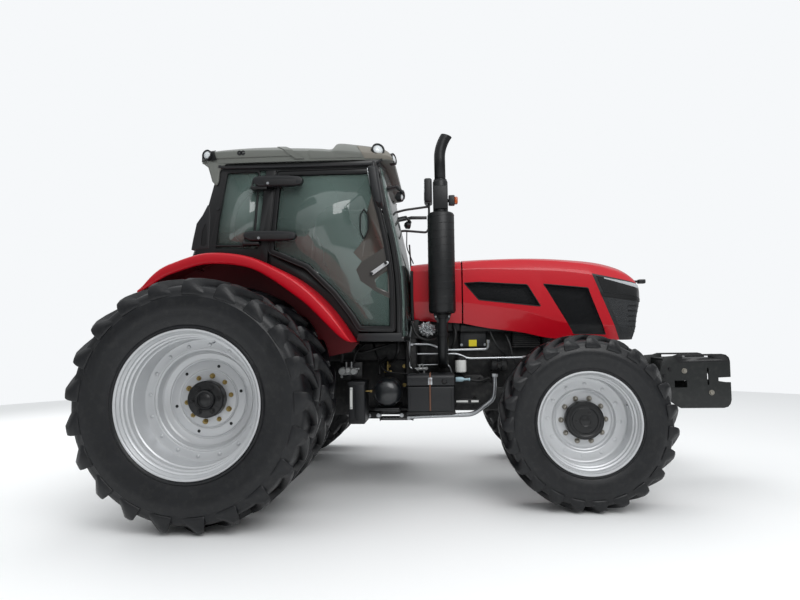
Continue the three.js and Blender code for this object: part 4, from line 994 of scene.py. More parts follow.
def cap_ends(piece):
    """Closes the front, the back and then the underside of a ribbed skin with flat faces."""
    hold(piece)
    xs = [vertex.co.x for vertex in piece.data.vertices]
    for end in (min(xs), max(xs)):
        open_mesh("DESELECT")
        close_mesh()
        for edge in piece.data.edges:
            edge.select = all(abs(piece.data.vertices[i].co.x - end) < 1e-5 for i in edge.vertices)
        bpy.ops.object.mode_set(mode="EDIT")
        bpy.ops.mesh.edge_face_add()
        close_mesh()
    bpy.ops.object.mode_set(mode="EDIT")
    bpy.ops.mesh.select_mode(type="EDGE")
    bpy.ops.mesh.select_all(action="DESELECT")
    bpy.ops.mesh.select_non_manifold()
    bpy.ops.mesh.edge_face_add()
    bpy.ops.mesh.select_mode(type="VERT")
    close_mesh()
    return outward(piece)


# x, crown, height 110 mm in from the side, side edge, lower edge, half width
ROOF = [
    (-300, 2862, 2850, 2815, 2800, 740), (-262, 2893, 2875, 2845, 2770, 810),
    (-150, 2915, 2893, 2850, 2762, 846), (100, 2930, 2905, 2852, 2758, 858),
    (400, 2932, 2905, 2846, 2757, 860), (700, 2916, 2891, 2835, 2756, 860),
    (818, 2906, 2883, 2828, 2756, 858), (872, 2952, 2930, 2834, 2756, 855),
    (1010, 2944, 2919, 2824, 2756, 850), (1200, 2918, 2893, 2804, 2756, 828),
    (1290, 2880, 2856, 2792, 2757, 800), (1333, 2812, 2800, 2775, 2765, 750),
]


def roof_rib(row):
    x, crown, inner, side, low, half = row
    return rib(x, [(0, crown, 0), (half * 0.55, crown - (crown - inner) * 0.25, 80),
                   (half - 110, inner, 40), (half, side, 12), (half - 14, low, 0)])


roof_skin = face_out(skin("roof_skin", [roof_rib(row) for row in between(ROOF, 5)]),
    at(500, 0, 2760))
roof = cap_ends(twin(roof_skin, "roof_moulding"))
fit(smooth(roof, 28), GREY, stands_for=["cab_roof"])
WARM_GREY = surface("warm_grey_moulding", "#77736A", 0.5, grain=2.0, relief=0.15, drift=0.06)


def roof_patch(name, planes, lift, thick, material):
    piece = twin(roof_skin, name)
    for (x, z), normal in planes:
        cut_plane(piece, at(x, 0, z), Vector(normal).normalized())
    hold(piece)
    open_mesh()
    bpy.ops.transform.shrink_fatten(value=lift)
    close_mesh()
    return fit(smooth(thicken(piece, thick), 28), material)


roof_patch("roof_rear_panel", [((365, 2895), (0.62, 0, 0.9)), ((-215, 2800), (-1, 0, 0.1)),
                               ((0, 2800), (0, 0, -1))], 0.007, 0.008, GREY)
roof_patch("roof_band", [((447, 2886), (0.62, 0, 0.9)), ((365, 2895), (-0.62, 0, -0.9)),
                         ((0, 2775), (0, 0, -1))], 0.013, 0.010, GREY)
roof_patch("roof_side_panel", [((646, 2833), (-0.35, 0, -0.05)), ((646, 2838), (0.1, 0, 1)),
    ((1080, 2790), (1, 0, 0.5)), ((0, 2774), (0, 0, -1))], 0.005, 0.006, GREY)
roof_patch("lamp_recess", [((1040, 2880), (-0.95, 0, -0.55)), ((1322, 2800), (1, 0, 0)),
    ((0, 2766), (0, 0, -1)), ((1100, 2885), (0.1, 0, 1))], 0.004, 0.005, WARM_GREY)


def work_lamp(name, spot, aim, radius):
    """A round lamp: a dark bezel with a bowl in it, and a domed ribbed lens in the bowl."""
    r = radius * MM
    bezel = turned(name + "_bezel", [(r * 0.86, 0.0), (r * 1.02, 0.012), (r * 1.16, 0.008),
        (r * 1.2, -0.03), (r * 0.5, -0.05), (0.001, -0.05), (0.001, -0.02), (r * 0.8, -0.012)],
        spot, along=aim, steps=40)
    lens = turned(name, [(0.0005, 0.014), (r * 0.35, 0.013), (r * 0.65, 0.008), (r * 0.86, 0.0),
                         (r * 0.84, -0.006), (0.0005, -0.006)], spot, along=aim, steps=40)
    return bezel, lens


for name, spot, aim, radius in (
        ("front_lamp_side_R", at(1214, -800, 2846), (0.36, -0.9, 0.24), 47),
        ("front_lamp_R", at(1330, -650, 2806), (0.94, -0.3, 0.15), 44),
        ("rear_lamp_R", at(-214, -848, 2832), (-0.25, -0.95, 0.1), 38)):
    bezel, lens = work_lamp(name, spot, Vector(aim), radius)
    bezel.name = name[:-2] + "_bezel_R"
    pair(bezel, MOULDED)
    pair(lens, LENS_CLEAR)
corner = plate("roof_corner_R", side_on(-834, ((-268, 2800), (-226, 2786), (-212, 2735),
    (-176, 2610), (-142, 2574), (-122, 2600), (-112, 2700), (-60, 2756), (120, 2762), (120, 2790),
    (-200, 2826))), (0, 0.05, 0), 0.010, 3)
pair(corner, GREY)
tail = plate("roof_tail_rail", side_on(-790, ((-268, 2800), (-228, 2786), (-206, 2730),
    (-176, 2700), (-140, 2722), (-130, 2790))), (0, 1.58, 0), 0.010, 3)
fit(tail, GREY)
vents = [turned("vent", [(0.012, 0.002), (0.02, 0.001), (0.02, -0.01), (0.004, -0.01),
    (0.004, -0.002)], at(x, -853, 2836), steps=20) for x in (66, 96)]
fit(joined("roof_plugs", vents), MOULDED)
roof_patch("rear_lamp_surround", [((-150, 2850), (1, 0, 0.35)), ((-262, 2800), (-1, 0, 0.1)),
    ((0, 2872), (0, 0, 1)), ((0, 2786), (0, 0, -1))], 0.0155, 0.006, FRAME_BLACK)
bpy.data.objects.remove(roof_skin)
print(len(PIECES), "pieces with the roof")

# %% [markdown]
# Each door is one bent sheet of safety glass with a narrow black frame round it, hung on two long
# moulded pods that cover the hinges. The glass has a fired ceramic band on its front edge, with two
# clear openings left in it, and a bright pull handle bolted through it.

# %% Door frames, pods and glass bands
def ring_plate(name, outline, rail, y0, y1, edge=0.006):
    """A flat frame: the outline filled, inset by the rail's width, its middle removed, then pushed out."""
    hold()
    bpy.ops.mesh.primitive_circle_add(vertices=len(outline), fill_type="NGON")
    piece = fresh(name)
    lay(piece, side_on(y0, outline))
    open_mesh()
    bpy.ops.mesh.inset(thickness=rail * MM, use_even_offset=True)
    bpy.ops.mesh.delete(type="FACE")
    bpy.ops.mesh.select_all(action="SELECT")
    bpy.ops.mesh.extrude_region_move(TRANSFORM_OT_translate={"value": (0, (y1 - y0) * MM, 0)})
    close_mesh()
    return soften(outward(piece), edge)


DOOR = [(371, 2684), (1169, 2684), (1208, 2430), (1247, 2280), (1287, 2100), (1313, 1940),
    (1332, 1780), (1339, 1590), (1339, 1343), (1041, 1351), (973, 1466), (831, 1651), (611, 1867),
    (301, 2001)]
frame_R = ring_plate("door_ring_R", DOOR, 40, -829, -791)
lip = side_on(-831, DOOR)
seal_R = pipe("door_edge_seal_R", lip + lip[:2], 0.006, 0.03, 3)


def hinge_pod(name, x0, x1, z0, z1):
    """A long rounded cover. Its lower half is not scooped out: a dark plate laid on the face is painted
    shade for the scoop, below a brow along the top.
    """
    mid = (z0 + z1) / 2
    outline = [(x0 + 22, z1 - 8), (x0 + 90, z1), (x1 - 120, z1 - 4), (x1 - 30, z1 - 14),
        (x1 - 2, mid + 16), (x1, mid - 14), (x1 - 22, z0 + 6), (x1 - 80, z0), (x0 + 60, z0 + 2),
        (x0 + 12, mid - 18), (x0, mid + 12)]
    body = plate(name, side_on(-900, outline), (0, 0.062, 0), 0.014, 4)
    scoop_shade = plate(name + "_scoop", side_on(-903, ((x0 + 70, mid - 2), (x0 + 110, mid + 8),
        (x0 + 220, mid + 10), (x1 - 50, mid + 2), (x1 - 60, z0 + 12), (x1 - 110, z0 + 10),
        (x0 + 110, z0 + 10))), (0, 0.006, 0), 0.002)
    foot = plate(name + "_foot", side_on(-842, ((x0 + 60, z1 - 10), (x0 + 200, z1 - 10),
        (x0 + 200, z0 + 8), (x0 + 60, z0 + 8))), (0, 0.014, 0), 0.003)
    screw = turned(name + "_screw", [(0.0005, 0.006), (0.008, 0.005), (0.011, 0.0), (0.011, -0.006),
                                     (0.0005, -0.006)], at(x0 + 136, -903, z0 + 22), steps=16)
    return joined(name, [body, foot]), scoop_shade, screw


# The dark plate on each pod is painted shade for its scoop.
for name, box in (("top_pod_R", (181, 604, 2541, 2632)), ("low_pod_R", (106, 545, 2092, 2178))):
    pod, scoop_shade, screw = hinge_pod(name, *box)
    scoop_shade.name, screw.name = name[:-2] + "_scoop_R", name[:-2] + "_screw_R"
    pair(pod, MOULDED, "door_R")
    pair(scoop_shade, SEAL, "door_R")
    pair(screw, STEEL, "door_R")
pair(frame_R, FRAME_BLACK, "door_R", ["door_frame_R"])
pair(seal_R, SEAL, "door_R")

BAND = [(1160, 2470), (1117, 2313), (1124, 2200), (1086, 2092), (1004, 1990), (1073, 1919),
    (1026, 1851), (1060, 1758), (1180, 1672), (1298, 1612), (1298, 1780), (1272, 1940),
    (1247, 2090), (1207, 2270), (1176, 2430)]
LEAF = [(1092, 2348), (1118, 2316), (1128, 2262), (1127, 2173), (1092, 2098), (1063, 2163),
    (1062, 2291)]
CLEAR = [(1282, 1840), (1175, 1767), (1192, 1704), (1286, 1661)]
HOOK = [(1262, 2032), (1073, 1913), (1028, 1851), (1062, 1758), (1180, 1672), (1292, 1622),
    (1292, 1652), (1188, 1698), (1170, 1770), (1286, 1850), (1272, 1940)]
band_R = plate("glass_band_R", side_on(-812, BAND), (0, 0.001, 0), 0)
for outline in (LEAF, CLEAR):
    window(band_R, outline, -840, -780)
pair(band_R, FRIT, "door_R")
DARK_FRIT = surface("dense_glass_frit", "#3E3C39", 0.3, grain=1.5, relief=0.02, drift=0.08,
    Coat_Weight=0.5)
pair(plate("glass_hook_R", side_on(-813.2, HOOK), (0, 0.001, 0), 0), DARK_FRIT, "door_R")
leaf_line = side_on(-813, LEAF)
pair(pipe("leaf_seal_R", leaf_line + leaf_line[:2], 0.005, 0.02, 2), SEAL, "door_R")
pull = plate("door_pull_R", side_on(-836, ((1150, 1812), (1162, 1800), (1284, 1884), (1296, 1898),
    (1290, 1912), (1274, 1914), (1146, 1828))), (0, 0.02, 0), 0.005, 3)
pair(pull, SILVER, "door_R")
tip = plate("door_pull_tip_R", side_on(-837, ((1136, 1814), (1150, 1798), (1172, 1812),
    (1158, 1832))), (0, 0.022, 0), 0.004)
pair(tip, MOULDED, "door_R")
lock = turned("door_lock_R", [(0.0005, 0.004), (0.009, 0.003), (0.012, 0.0), (0.012, -0.02),
    (0.0005, -0.02)], at(1270, -838, 1896), steps=24)
pair(lock, FRAME_BLACK, "door_R")
print(len(PIECES), "pieces with the doors")

# %% [markdown]
# Black rubber profiles seal every fixed pane. A horn-shaped moulding stands behind the quarter glass
# with a long opening in it, and a thin step plate runs under the door.

# %% Seals, rear horn, front trim
QUARTER = [(-62, 2690), (222, 2690), (186, 2231), (168, 2067), (-194, 2072)]
quarter = side_on(-812, QUARTER)
pair(pipe("quarter_seal_R", quarter + quarter[:2], 0.009, 0.03, 3), SEAL)
horn = plate("rear_horn_R", side_on(-822, ((-356, 2040), (-340, 2130), (-311, 2263), (-262, 2330),
    (-215, 2420), (-196, 2400), (-191, 2308), (-201, 2081), (-196, 2045))), (0, 0.05, 0), 0.008, 3)
window(horn, [(-272, 2078), (-262, 2190), (-236, 2262), (-222, 2240), (-222, 2090), (-244, 2068)],
    -900, -700)
pair(smooth(horn, 30), MOULDED)
closing = plate("arch_closing_R", side_on(-772, ((60, 2040), (300, 2004), (611, 1870), (831, 1654),
    (973, 1469), (1041, 1354), (1041, 1290), (1000, 1300), (940, 1400), (790, 1590), (560, 1785),
    (250, 1935), (60, 1965))), (0, 0.006, 0), 0.001)
pair(closing, FRAME_BLACK)
latch = turned("quarter_latch_R", [(0.0005, 0.016), (0.012, 0.014), (0.016, 0.0), (0.016, -0.01),
                                   (0.0005, -0.01)], at(-128, -818, 2384), steps=24)
pair(latch, MOULDED)
gutter = pipe("roof_gutter_R", side_on(-836, ((-118, 2735), (-60, 2722), (400, 2716), (1150, 2716),
    (1212, 2726), (1248, 2752))), 0.011, 0.05, 3)
pair(gutter, MOULDED)
ledge_R = plate("door_step_trim_R", side_on(-832, ((1040, 1330), (1392, 1330), (1392, 1268),
    (1024, 1268))), (0, 0.012, 0), 0.003)
pair(ledge_R, MOULDED)
BEND = [(1229, 2430), (1268, 2280), (1308, 2100), (1335, 1940), (1354, 1780), (1362, 1590),
    (1362, 1300)]
for i, shift in enumerate((-2, 24)):
    line = pipe(f"pillar_groove_{i}_R", [at(x + shift, -823, z) for x, z in BEND], 0.004, 0.1, 2)
    pair(line, SEAL)
hose_R = pipe("pillar_hose_R", [at(1398, -700, 1885), at(1412, -700, 1640), at(1402, -700, 1346)],
    0.018, 0.1)
pair(hose_R, HOSE)
edge = pipe("cowl_edge_R", side_on(-452, ((1462, 1870), (1462, 1600), (1466, 1440))), 0.013, 0.05)
pair(edge, SEAL)
shelf = plate("lamp_shelf_R", side_on(-690, ((1226, 2548), (1366, 2574), (1420, 2512), (1408, 2498),
    (1352, 2556), (1228, 2530))), (0, 0.09, 0), 0.003)
pair(shelf, MOULDED)
bezel, lens = work_lamp("shelf_lamp_R", at(1392, -650, 2478), Vector((0.9, -0.3, -0.1)), 34)
bezel.name = "shelf_lamp_bezel_R"
pair(bezel, MOULDED)
pair(lens, LENS_CLEAR)

# %% [markdown]
# The mirrors hang on bent round bars. Each head is a deep moulded shell with silvered glass set into
# its rear face, and a pipe clamp where the bar enters.

# %% Mirrors
HEAD = [(1174, 2580), (1196, 2432), (1234, 2292), (1288, 2292), (1266, 2432), (1244, 2580)]
head_R = plate("mirror_head_R", side_on(-1274, HEAD), (0, 0.188, 0), 0.022, 4)
face_R = plate("mirror_face_R", [at(1172 + 22 * t, y, 2566 - 132 * t) for t, y in (
    (0, -1250), (0, -1110), (1, -1110), (1, -1250))], (0.004, 0, 0), 0.001)
arm_R = pipe("mirror_arm_R", [at(1228, -824, 2640), at(1214, -850, 2640), at(1214, -1180, 2640),
                              at(1214, -1180, 2560)], 0.0138, 0.05)
plate_R = block("mirror_foot_R", at(1192, -854, 2612), at(1236, -821, 2668), 0.004)
fit(head_R, MOULDED, stands_for=["mirror_R"])
fit(face_R, MIRROR)
fit(joined("mirror_arm_R", [arm_R, plate_R]), FRAME_BLACK)
head_L = block("mirror_head_L", at(1552, 851, 2766), at(1638, 1059, 3039), 0.024, 4)
face_L = block("mirror_face_L", at(1549, 872, 2790), at(1554, 1038, 3014), 0.001)
bars = [pipe("bar", [at(1209, 838, 2650), at(1330, 870, 2690), at(1600, 948, 2738),
    at(1600, 950, 2780)], 0.0128),
    pipe("bar", [at(1243, 838, 2440), at(1320, 860, 2460), at(1574, 930, 2446), at(1600, 946, 2500),
        at(1602, 950, 2780)], 0.0128),
    pipe("bar", [at(1355, 900, 2452), at(1353, 860, 2275), at(1426, 830, 2090)], 0.006),
    plate("bar", side_on(884, ((1250, 2588), (1404, 2624), (1577, 2620), (1577, 2590), (1408, 2592),
        (1262, 2566))), (0, 0.04, 0), 0.003),
    block("foot", at(1190, 821, 2628), at(1228, 854, 2672), 0.004),
    block("foot", at(1224, 821, 2418), at(1262, 854, 2462), 0.004)]
fit(head_L, MOULDED, stands_for=["mirror_L"])
fit(face_L, MIRROR)
fit(joined("mirror_bars_L", bars), FRAME_BLACK)
print(len(PIECES), "pieces with the mirrors")

# %% [markdown]
# A rear mudguard is a pressed arch that stands over the inner wheel. Seen from the side only its
# outer rim shows: a bright band with a crease near the top, running from a point at the back to a
# point beside the sill. Behind the rim the arch's underside and its wall are the red darkened as
# painted shade, with some grime.

# %% Mudguards
ARCH = [(-640, 1686, 1664), (-600, 1722, 1684), (-538, 1799, 1716), (-470, 1856, 1760),
    (-400, 1892, 1796), (-379, 1899, 1803), (-240, 1947, 1848), (-102, 1975, 1877),
    (80, 1968, 1873), (252, 1932, 1839), (400, 1866, 1763), (563, 1779, 1650), (690, 1685, 1552),
    (794, 1584, 1449), (880, 1484, 1362), (945, 1393, 1300), (990, 1322, 1272), (1028, 1264, 1262)]


def arch_rib(row):
    x, top, lip = row
    drop = top - lip
    corners = [(659, top - 4, 0), (900, top - 1, 20), (1112, top - 3, 20),
        (1150, top - drop * 0.14, 6), (1159, top - drop * 0.26, 5), (1157, lip + drop * 0.1, 6),
        (1150, lip, 0)]
    half = [at(x, -corners[0][0], corners[0][1])]
    for (ya, za, _), (yb, zb, bend), (yc, zc, _) in zip(corners, corners[1:], corners[2:]):
        corner = Vector((yb, zb))
        for way in (Vector((ya, za)) - corner, Vector((yc, zc)) - corner):
            spot = corner + way.normalized() * min(bend,
                way.length * 0.45) if way.length else corner
            half.append(at(x, -spot.x, spot.y))
    half.append(at(x, -corners[-1][0], corners[-1][1]))
    return half


arch = skin("mudguard_R", [arch_rib(row) for row in between(ARCH, 3)])
face_out(arch, at(200, -900, 900))
thicken(arch, 0.005)
pair(smooth(arch, 26), RED, stands_for=["fender_R"])
# A dark red sheet just under the arch is painted shade on its underside; the wall and the stays get the same
# shaded red.
underside_shade = twin(arch, "mudguard_lining_R", (0, 0.001, -0.0065))
cut_plane(underside_shade, at(0, -1140, 0), Vector((0, -1, 0)))
pair(underside_shade, SHADED_GRIMY_RED)
wall_R = plate("mudguard_wall_R", [at(x, -662, z - 8) for x, z, _ in ARCH] + side_on(-662,
    ((1010, 1240), (960, 1180), (500, 1090), (-330, 1090), (-560, 1420))), (0, 0.006, 0), 0)
pair(wall_R, SHADED_GRIMY_RED)
stays = [pipe("stay", [at(x, -700, z - 40), at(x + 30, -1100, z - 30)], 0.008, 0) for x, z in (
    (-300, 1915), (252, 1925), (700, 1660))]
pair(joined("mudguard_stays_R", stays), SHADED_GRIMY_RED)

# %% [markdown]
# The exhaust stands beside the bonnet: a fat spiral-lapped silencer, a square-shouldered clamp, and a
# tail pipe that curls forward and is cut at a slant. Its down pipe meets the engine under the cowl.

# %% Exhaust
STACK = at(1722, -622, 0)
can = turned("silencer", [(0.03, 1.489), (0.098, 1.491), (0.106, 1.497), (0.1125, 1.51),
    (0.1125, 2.318), (0.106, 2.331), (0.095, 2.337), (0.03, 2.339)], STACK, axis="Z", steps=72)
TURNS, TURN_STEPS = 13, 28
helix = []
for i in range(TURNS * TURN_STEPS + 1):
    a = 2 * math.pi * i / TURN_STEPS
    helix.append(STACK + Vector((math.cos(a) * 0.1122, math.sin(a) * 0.1122,
        1.515 + 0.8 * i / (TURNS * TURN_STEPS))))
lap = pipe("silencer_lap", helix, 0.0024, 0, 1)
sleeve = turned("stack_sleeve", [(0.045, 2.338), (0.063, 2.338), (0.063, 2.60), (0.058, 2.612),
    (0.05, 2.618), (0.045, 2.618)], STACK, axis="Z", steps=48)
tail = pipe("tail_pipe", [STACK + Vector((0, 0, 2.56)), STACK + Vector((-0.002, 0, 2.86)),
    STACK + Vector((0.03, 0, 2.96)), STACK + Vector((0.10, 0, 3.06))], 0.047, 0.12, 8)
cut_plane(tail, STACK + Vector((0.06, 0, 3.0)), Vector((0.35, 0, 1)).normalized())
hold(tail)
open_mesh()
close_mesh()
thicken(tail, 0.004)
tail_hood = block("stack_guard", STACK + Vector((-0.062, -0.074, 2.36)),
    STACK + Vector((0.062, -0.05, 2.56)), 0.01, 3)
down = pipe("down_pipe", [STACK + Vector((0, 0, 1.50)), STACK + Vector((0, 0, 1.22)),
    at(1722, -560, 1065), at(1722, -250, 1065)], 0.045, 0.09, 6)
clamps = [turned("clamp", [(0.044, z), (0.056, z), (0.056, z + 0.022), (0.044, z + 0.022)], STACK,
    axis="Z", steps=40) for z in (2.60, 1.455, 1.30)]
fit(joined("exhaust_silencer", [can, lap]), EXHAUST_BLACK, stands_for=["exhaust"])
fit(joined("exhaust_tail", [sleeve, tail, tail_hood, down]), EXHAUST_BLACK)
fit(joined("exhaust_clamps", clamps), FRAME_BLACK)
yoke = plate("silencer_bracket", [STACK + Vector((x, -0.03, z)) for x, z in (
    (-0.075, 1.488), (0.075, 1.488), (0.062, 1.44), (0.03, 1.40), (-0.03, 1.40), (-0.062, 1.44))],
    (0, 0.06, 0), 0.003)
fit(yoke, FRAME_BLACK)
studs = [turned("stud", [(0.0005, 0.01), (0.009, 0.01), (0.009, 0.0), (0.0005, 0.0)],
                STACK + Vector((x, -0.032, z)), along=Vector((0, -1, 0)), steps=6, degrees=20)
         for x in (-0.055, 0.055) for z in (1.462,)]
fit(joined("silencer_studs", studs), STEEL)
lamp_case = block("stack_lamp_case", at(1790, -650, 2402), at(1842, -588, 2486), 0.008, 3)
fit(lamp_case, MOULDED)
fit(block("stack_lamp_lens", at(1838, -646, 2412), at(1868, -592, 2474), 0.012, 3), LENS_AMBER)
fit(block("stack_lamp_bracket", at(1750, -632, 2430), at(1796, -606, 2456), 0.003), FRAME_BLACK)

# %% [markdown]
# The front bracket is two flame-cut plates with lightening slots, joined by a drawbar plate across the
# front. Ballast hangs on it, so its upper edge is a thick folded band.

# %% Front bracket
side = [(3602, 836), (3602, 960), (3640, 1098), (3721, 1104), (3762, 1118), (4132, 1118),
    (4168, 1110), (4193, 1088), (4202, 1054), (4202, 722), (4192, 686), (4170, 662), (4136, 652),
    (3772, 652), (3700, 700), (3640, 790)]
plate_R = plate("bracket_side_R", side_on(-259, side), (0, 0.019, 0), 0.003)
for cut in ([(4098, 876), (4215, 872), (4215, 918), (4098, 913)],
            [(3727, 830), (3833, 830), (3833, 890), (3727, 890)],
            [(4004, 851), (4018, 851), (4018, 999), (4004, 999)],
            [(3800, 1082), (4022, 1082), (4022, 1102), (3800, 1102)]):
    window(plate_R, cut, -300, -200)
pair(smooth(plate_R, 30), BRACKET_BLACK)
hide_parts("front_bracket")
band = plate("bracket_band_R", side_on(-259, ((3722, 1102), (3764, 1044), (4188, 1050),
    (4200, 1056), (4191, 1087), (4167, 1108), (4132, 1116), (3764, 1116))), (0, -0.0008, 0), 0)
window(band, cut, -300, -200)
pair(band, FRAME_BLACK)
cross = boxes("cross", [(4180, -238, 720, 4200, 238, 868, 0.003),
    (4180, -238, 922, 4200, 238, 1060, 0.003), (3700, -238, 1060, 4180, 238, 1078, 0.003),
    (3760, -238, 700, 4150, 238, 718, 0.003), (3700, -238, 740, 3720, 238, 1060, 0.003)])
fit(joined("bracket_cross_plates", cross), BRACKET_BLACK)


def bolts(name, spots, aim, size, material, body="chassis", washer=True):
    """Hexagon heads with washers, standing on a face and pointing along aim. size is across corners."""
    r = size * MM / 2
    heads = []
    for spot in spots:
        heads.append(turned("head", [(0.0005, r * 0.85), (r * 0.9, r * 0.85), (r, r * 0.7),
            (r, 0.0), (0.0005, 0.0)], spot, along=Vector(aim), steps=6, degrees=20))
        if washer:
            heads.append(turned("washer", [(0.0005, r * 0.18), (r * 1.35, r * 0.18),
                (r * 1.35, -0.001), (0.0005, -0.001)], spot, along=Vector(aim), steps=20))
    return fit(joined(name, heads), material, body)


bolts("bracket_bolts_R", side_on(-259, ((3813, 974), (4036, 785))), (0, -1, 0), 34, DULL_ZINC)
bolts("bracket_bolts_L", side_on(259, ((3813, 974), (4036, 785))), (0, 1, 0), 34, DULL_ZINC)
bolts("frame_bolts_R", side_on(-259, ((3640, 870), (3640, 930), (3690, 990))), (0, -1, 0), 28,
    FRAME_BLACK)
pin = turned("drawbar_pin", [(0.0005, 1.112), (0.03, 1.110), (0.034, 1.098), (0.02, 1.09),
    (0.017, 0.70), (0.0005, 0.695)], at(4160, 0, 0), axis="Z", steps=28)
fit(pin, STEEL)
print(len(PIECES), "pieces with the body")

# %% [markdown]
# Everything between the wheels hangs off the castings: boxes and tanks on brackets, steel lines in
# clips, hoses with slack in them. Each box is made as it is on the tractor, a body with a separate lid,
# strap or band, because those joints are what the eye reads.

# %% Battery box, tanks and side box
box_body = block("battery_body", at(1428, -756, 691), at(1808, -462, 894), 0.010, 3)
box_lid = plate("battery_lid", end_on(1424, ((-760, 900), (-760, 972), (-742, 990), (-476, 990),
    (-460, 974), (-460, 900))), (0.388, 0, 0), 0.008, 3)
ribs = [block("rib", at(x, -759, 712), at(x + 6, -752, 880), 0.002) for x in (1448, 1782)]
fit(joined("battery_box_body", [box_body, box_lid, *ribs]), MOULDED,
    stands_for=["battery_box"])
strap = pipe("battery_strap", [at(1612, -762, 700), at(1612, -764, 905), at(1614, -764, 962),
    at(1614, -748, 994), at(1614, -600, 994)], 0.007, 0.02, 3)
fit(strap, surface("worn_strap", "#6B4A3A", 0.7, grain=2.0, relief=0.4, drift=0.2, patch=0.05))
buckle = block("battery_buckle", at(1596, -770, 908), at(1632, -760, 966), 0.004)
fit(buckle, STEEL)
plug = turned("battery_plug", [(0.0005, 0.006), (0.016, 0.006), (0.022, 0.0), (0.024, -0.006),
    (0.0005, -0.006)], at(1729, -763, 934), steps=28)
fit(turn(plug, math.pi, at(1729, -763, 934), "Z"), SEAL)

tank = turned("air_tank_shell", [(0.0005, 0.170), (0.05, 0.166), (0.085, 0.152), (0.107, 0.128),
    (0.116, 0.098), (0.116, 0.02), (0.1178, 0.016), (0.1178, 0.006), (0.116, 0.002),
    (0.116, -0.098), (0.107, -0.128), (0.085, -0.152), (0.05, -0.166), (0.0005, -0.170)],
    at(1261, -620, 844), steps=64)
TANK_BLACK = surface("tank_enamel", "#15181B", 0.3, grain=2.0, relief=0.08, drift=0.15, patch=0.12,
                     Coat_Weight=0.35, Coat_Roughness=0.2)
fit(tank, TANK_BLACK, stands_for=["air_tank"])
hoops = [turned("hoop", [(0.1165, y), (0.1178, y), (0.1178, y + 0.026), (0.1165, y + 0.026)],
    at(1261, -620, 844), steps=48) for y in (-0.09, 0.064)]
fit(joined("air_tank_hoops", hoops), FRAME_BLACK)
drain = turned("air_tank_drain", [(0.0005, 0.0), (0.012, 0.0), (0.012, -0.012), (0.006, -0.016),
    (0.006, -0.026), (0.0005, -0.026)], at(1261, -640, 742), axis="Z", steps=20)
fit(drain, ZINC)

case = block("side_case", at(932, -678, 582), at(1072, -402, 928), 0.014, 3)
lid = plate("side_case_door", side_on(-682, ((1000, 610), (1062, 610), (1062, 905), (984, 905),
    (984, 640))), (0, 0.006, 0), 0.003)
top_flap = block("side_case_top", at(928, -682, 900), at(1076, -398, 932), 0.008, 3)
fit(joined("side_case_R", [case, lid, top_flap]), MOULDED, stands_for=["side_box_R"])
gauge = block("sight_gauge", at(946, -686, 706), at(968, -678, 884), 0.003)
fit(gauge, WHITE)
bolts("gauge_screws", [at(957, -686, z) for z in (720, 870)], (0, -1, 0), 12, STEEL, washer=False)

shell = block("fuel_tank_shell", at(932, 422, 562), at(1478, 698, 1098), 0.035, 4)
straps = [block("strap", at(x, 419, 558), at(x + 34, 700, 1100), 0.004) for x in (1010, 1340)]
cap = turned("fuel_cap", [(0.0005, 0.034), (0.03, 0.034), (0.038, 0.026), (0.04, 0.0),
    (0.0005, 0.0)], at(1180, 560, 1098), axis="Z", steps=36)
treads = []
for z in (430, 700, 970):
    treads += boxes("tread", [(1060, 704, z, 1400, 858, z + 8, 0.002),
        (1060, 850, z - 16, 1400, 858, z + 26, 0.002)])
    treads += [block("cleat", at(x, 716, z + 8), at(x + 10, 844, z + 14), 0.001)
        for x in range(1080, 1390, 34)]
sides = [plate("stringer", end_on(x, ((704, 420), (858, 420), (858, 470), (760, 720), (858, 980),
    (858, 1000), (704, 1000))), (0.006, 0, 0), 0.001) for x in (1054, 1400)]
fit(joined("fuel_tank", [shell, cap]), MOULDED, stands_for=["fuel_tank_L"])
fit(joined("fuel_tank_straps", straps), FRAME_BLACK)
fit(joined("entry_steps", treads + sides), FRAME_BLACK)
print(len(PIECES), "pieces with the boxes")

# %% Castings' trim: flange, engine cover plate, fins, sump side
flange = plate("bell_flange_R", side_on(-322, ((1212, 1080), (1300, 1216), (1412, 1216),
    (1412, 846), (1250, 846), (1212, 900))), (0, 0.022, 0), 0.004)
neck = block("bell_neck_R", at(1240, -302, 870), at(1400, -185, 1190), 0.02, 3)
pair(joined("bell_housing_R", [flange, neck]), CASTING)
for tag, s in (("R", -1), ("L", 1)):
    spots = side_on(s * 323, ((1379, 1188), (1232, 1122), (1381, 1040), (1242, 1044), (1379, 876)))
    bolts(f"bell_bolts_{tag}", spots, (0, s, 0), 25, ZINC)
under = boxes("under", [(340, -335, 1088, 1440, 335, 1256, 0.02, 3),
    (-300, -560, 1166, 980, 560, 1250, 0.015, 3), (1392, -430, 900, 1500, 430, 1300, 0.02, 3),
    (1500, -372, 1338, 1880, 372, 1452, 0.02, 3), (1436, -436, 1280, 1524, 436, 1446, 0.01, 3),
    (1870, -372, 1330, 2690, 372, 1404, 0.02, 3)])
fit(joined("underfloor_members", under), CASTING)
scuttle = plate("scuttle_panel", end_on(1392, ((-738, 1304), (738, 1304), (738, 1500), (600, 1580),
    (-600, 1580), (-738, 1500))), (-0.006, 0, 0), 0.001)
fit(scuttle, MOULDED)
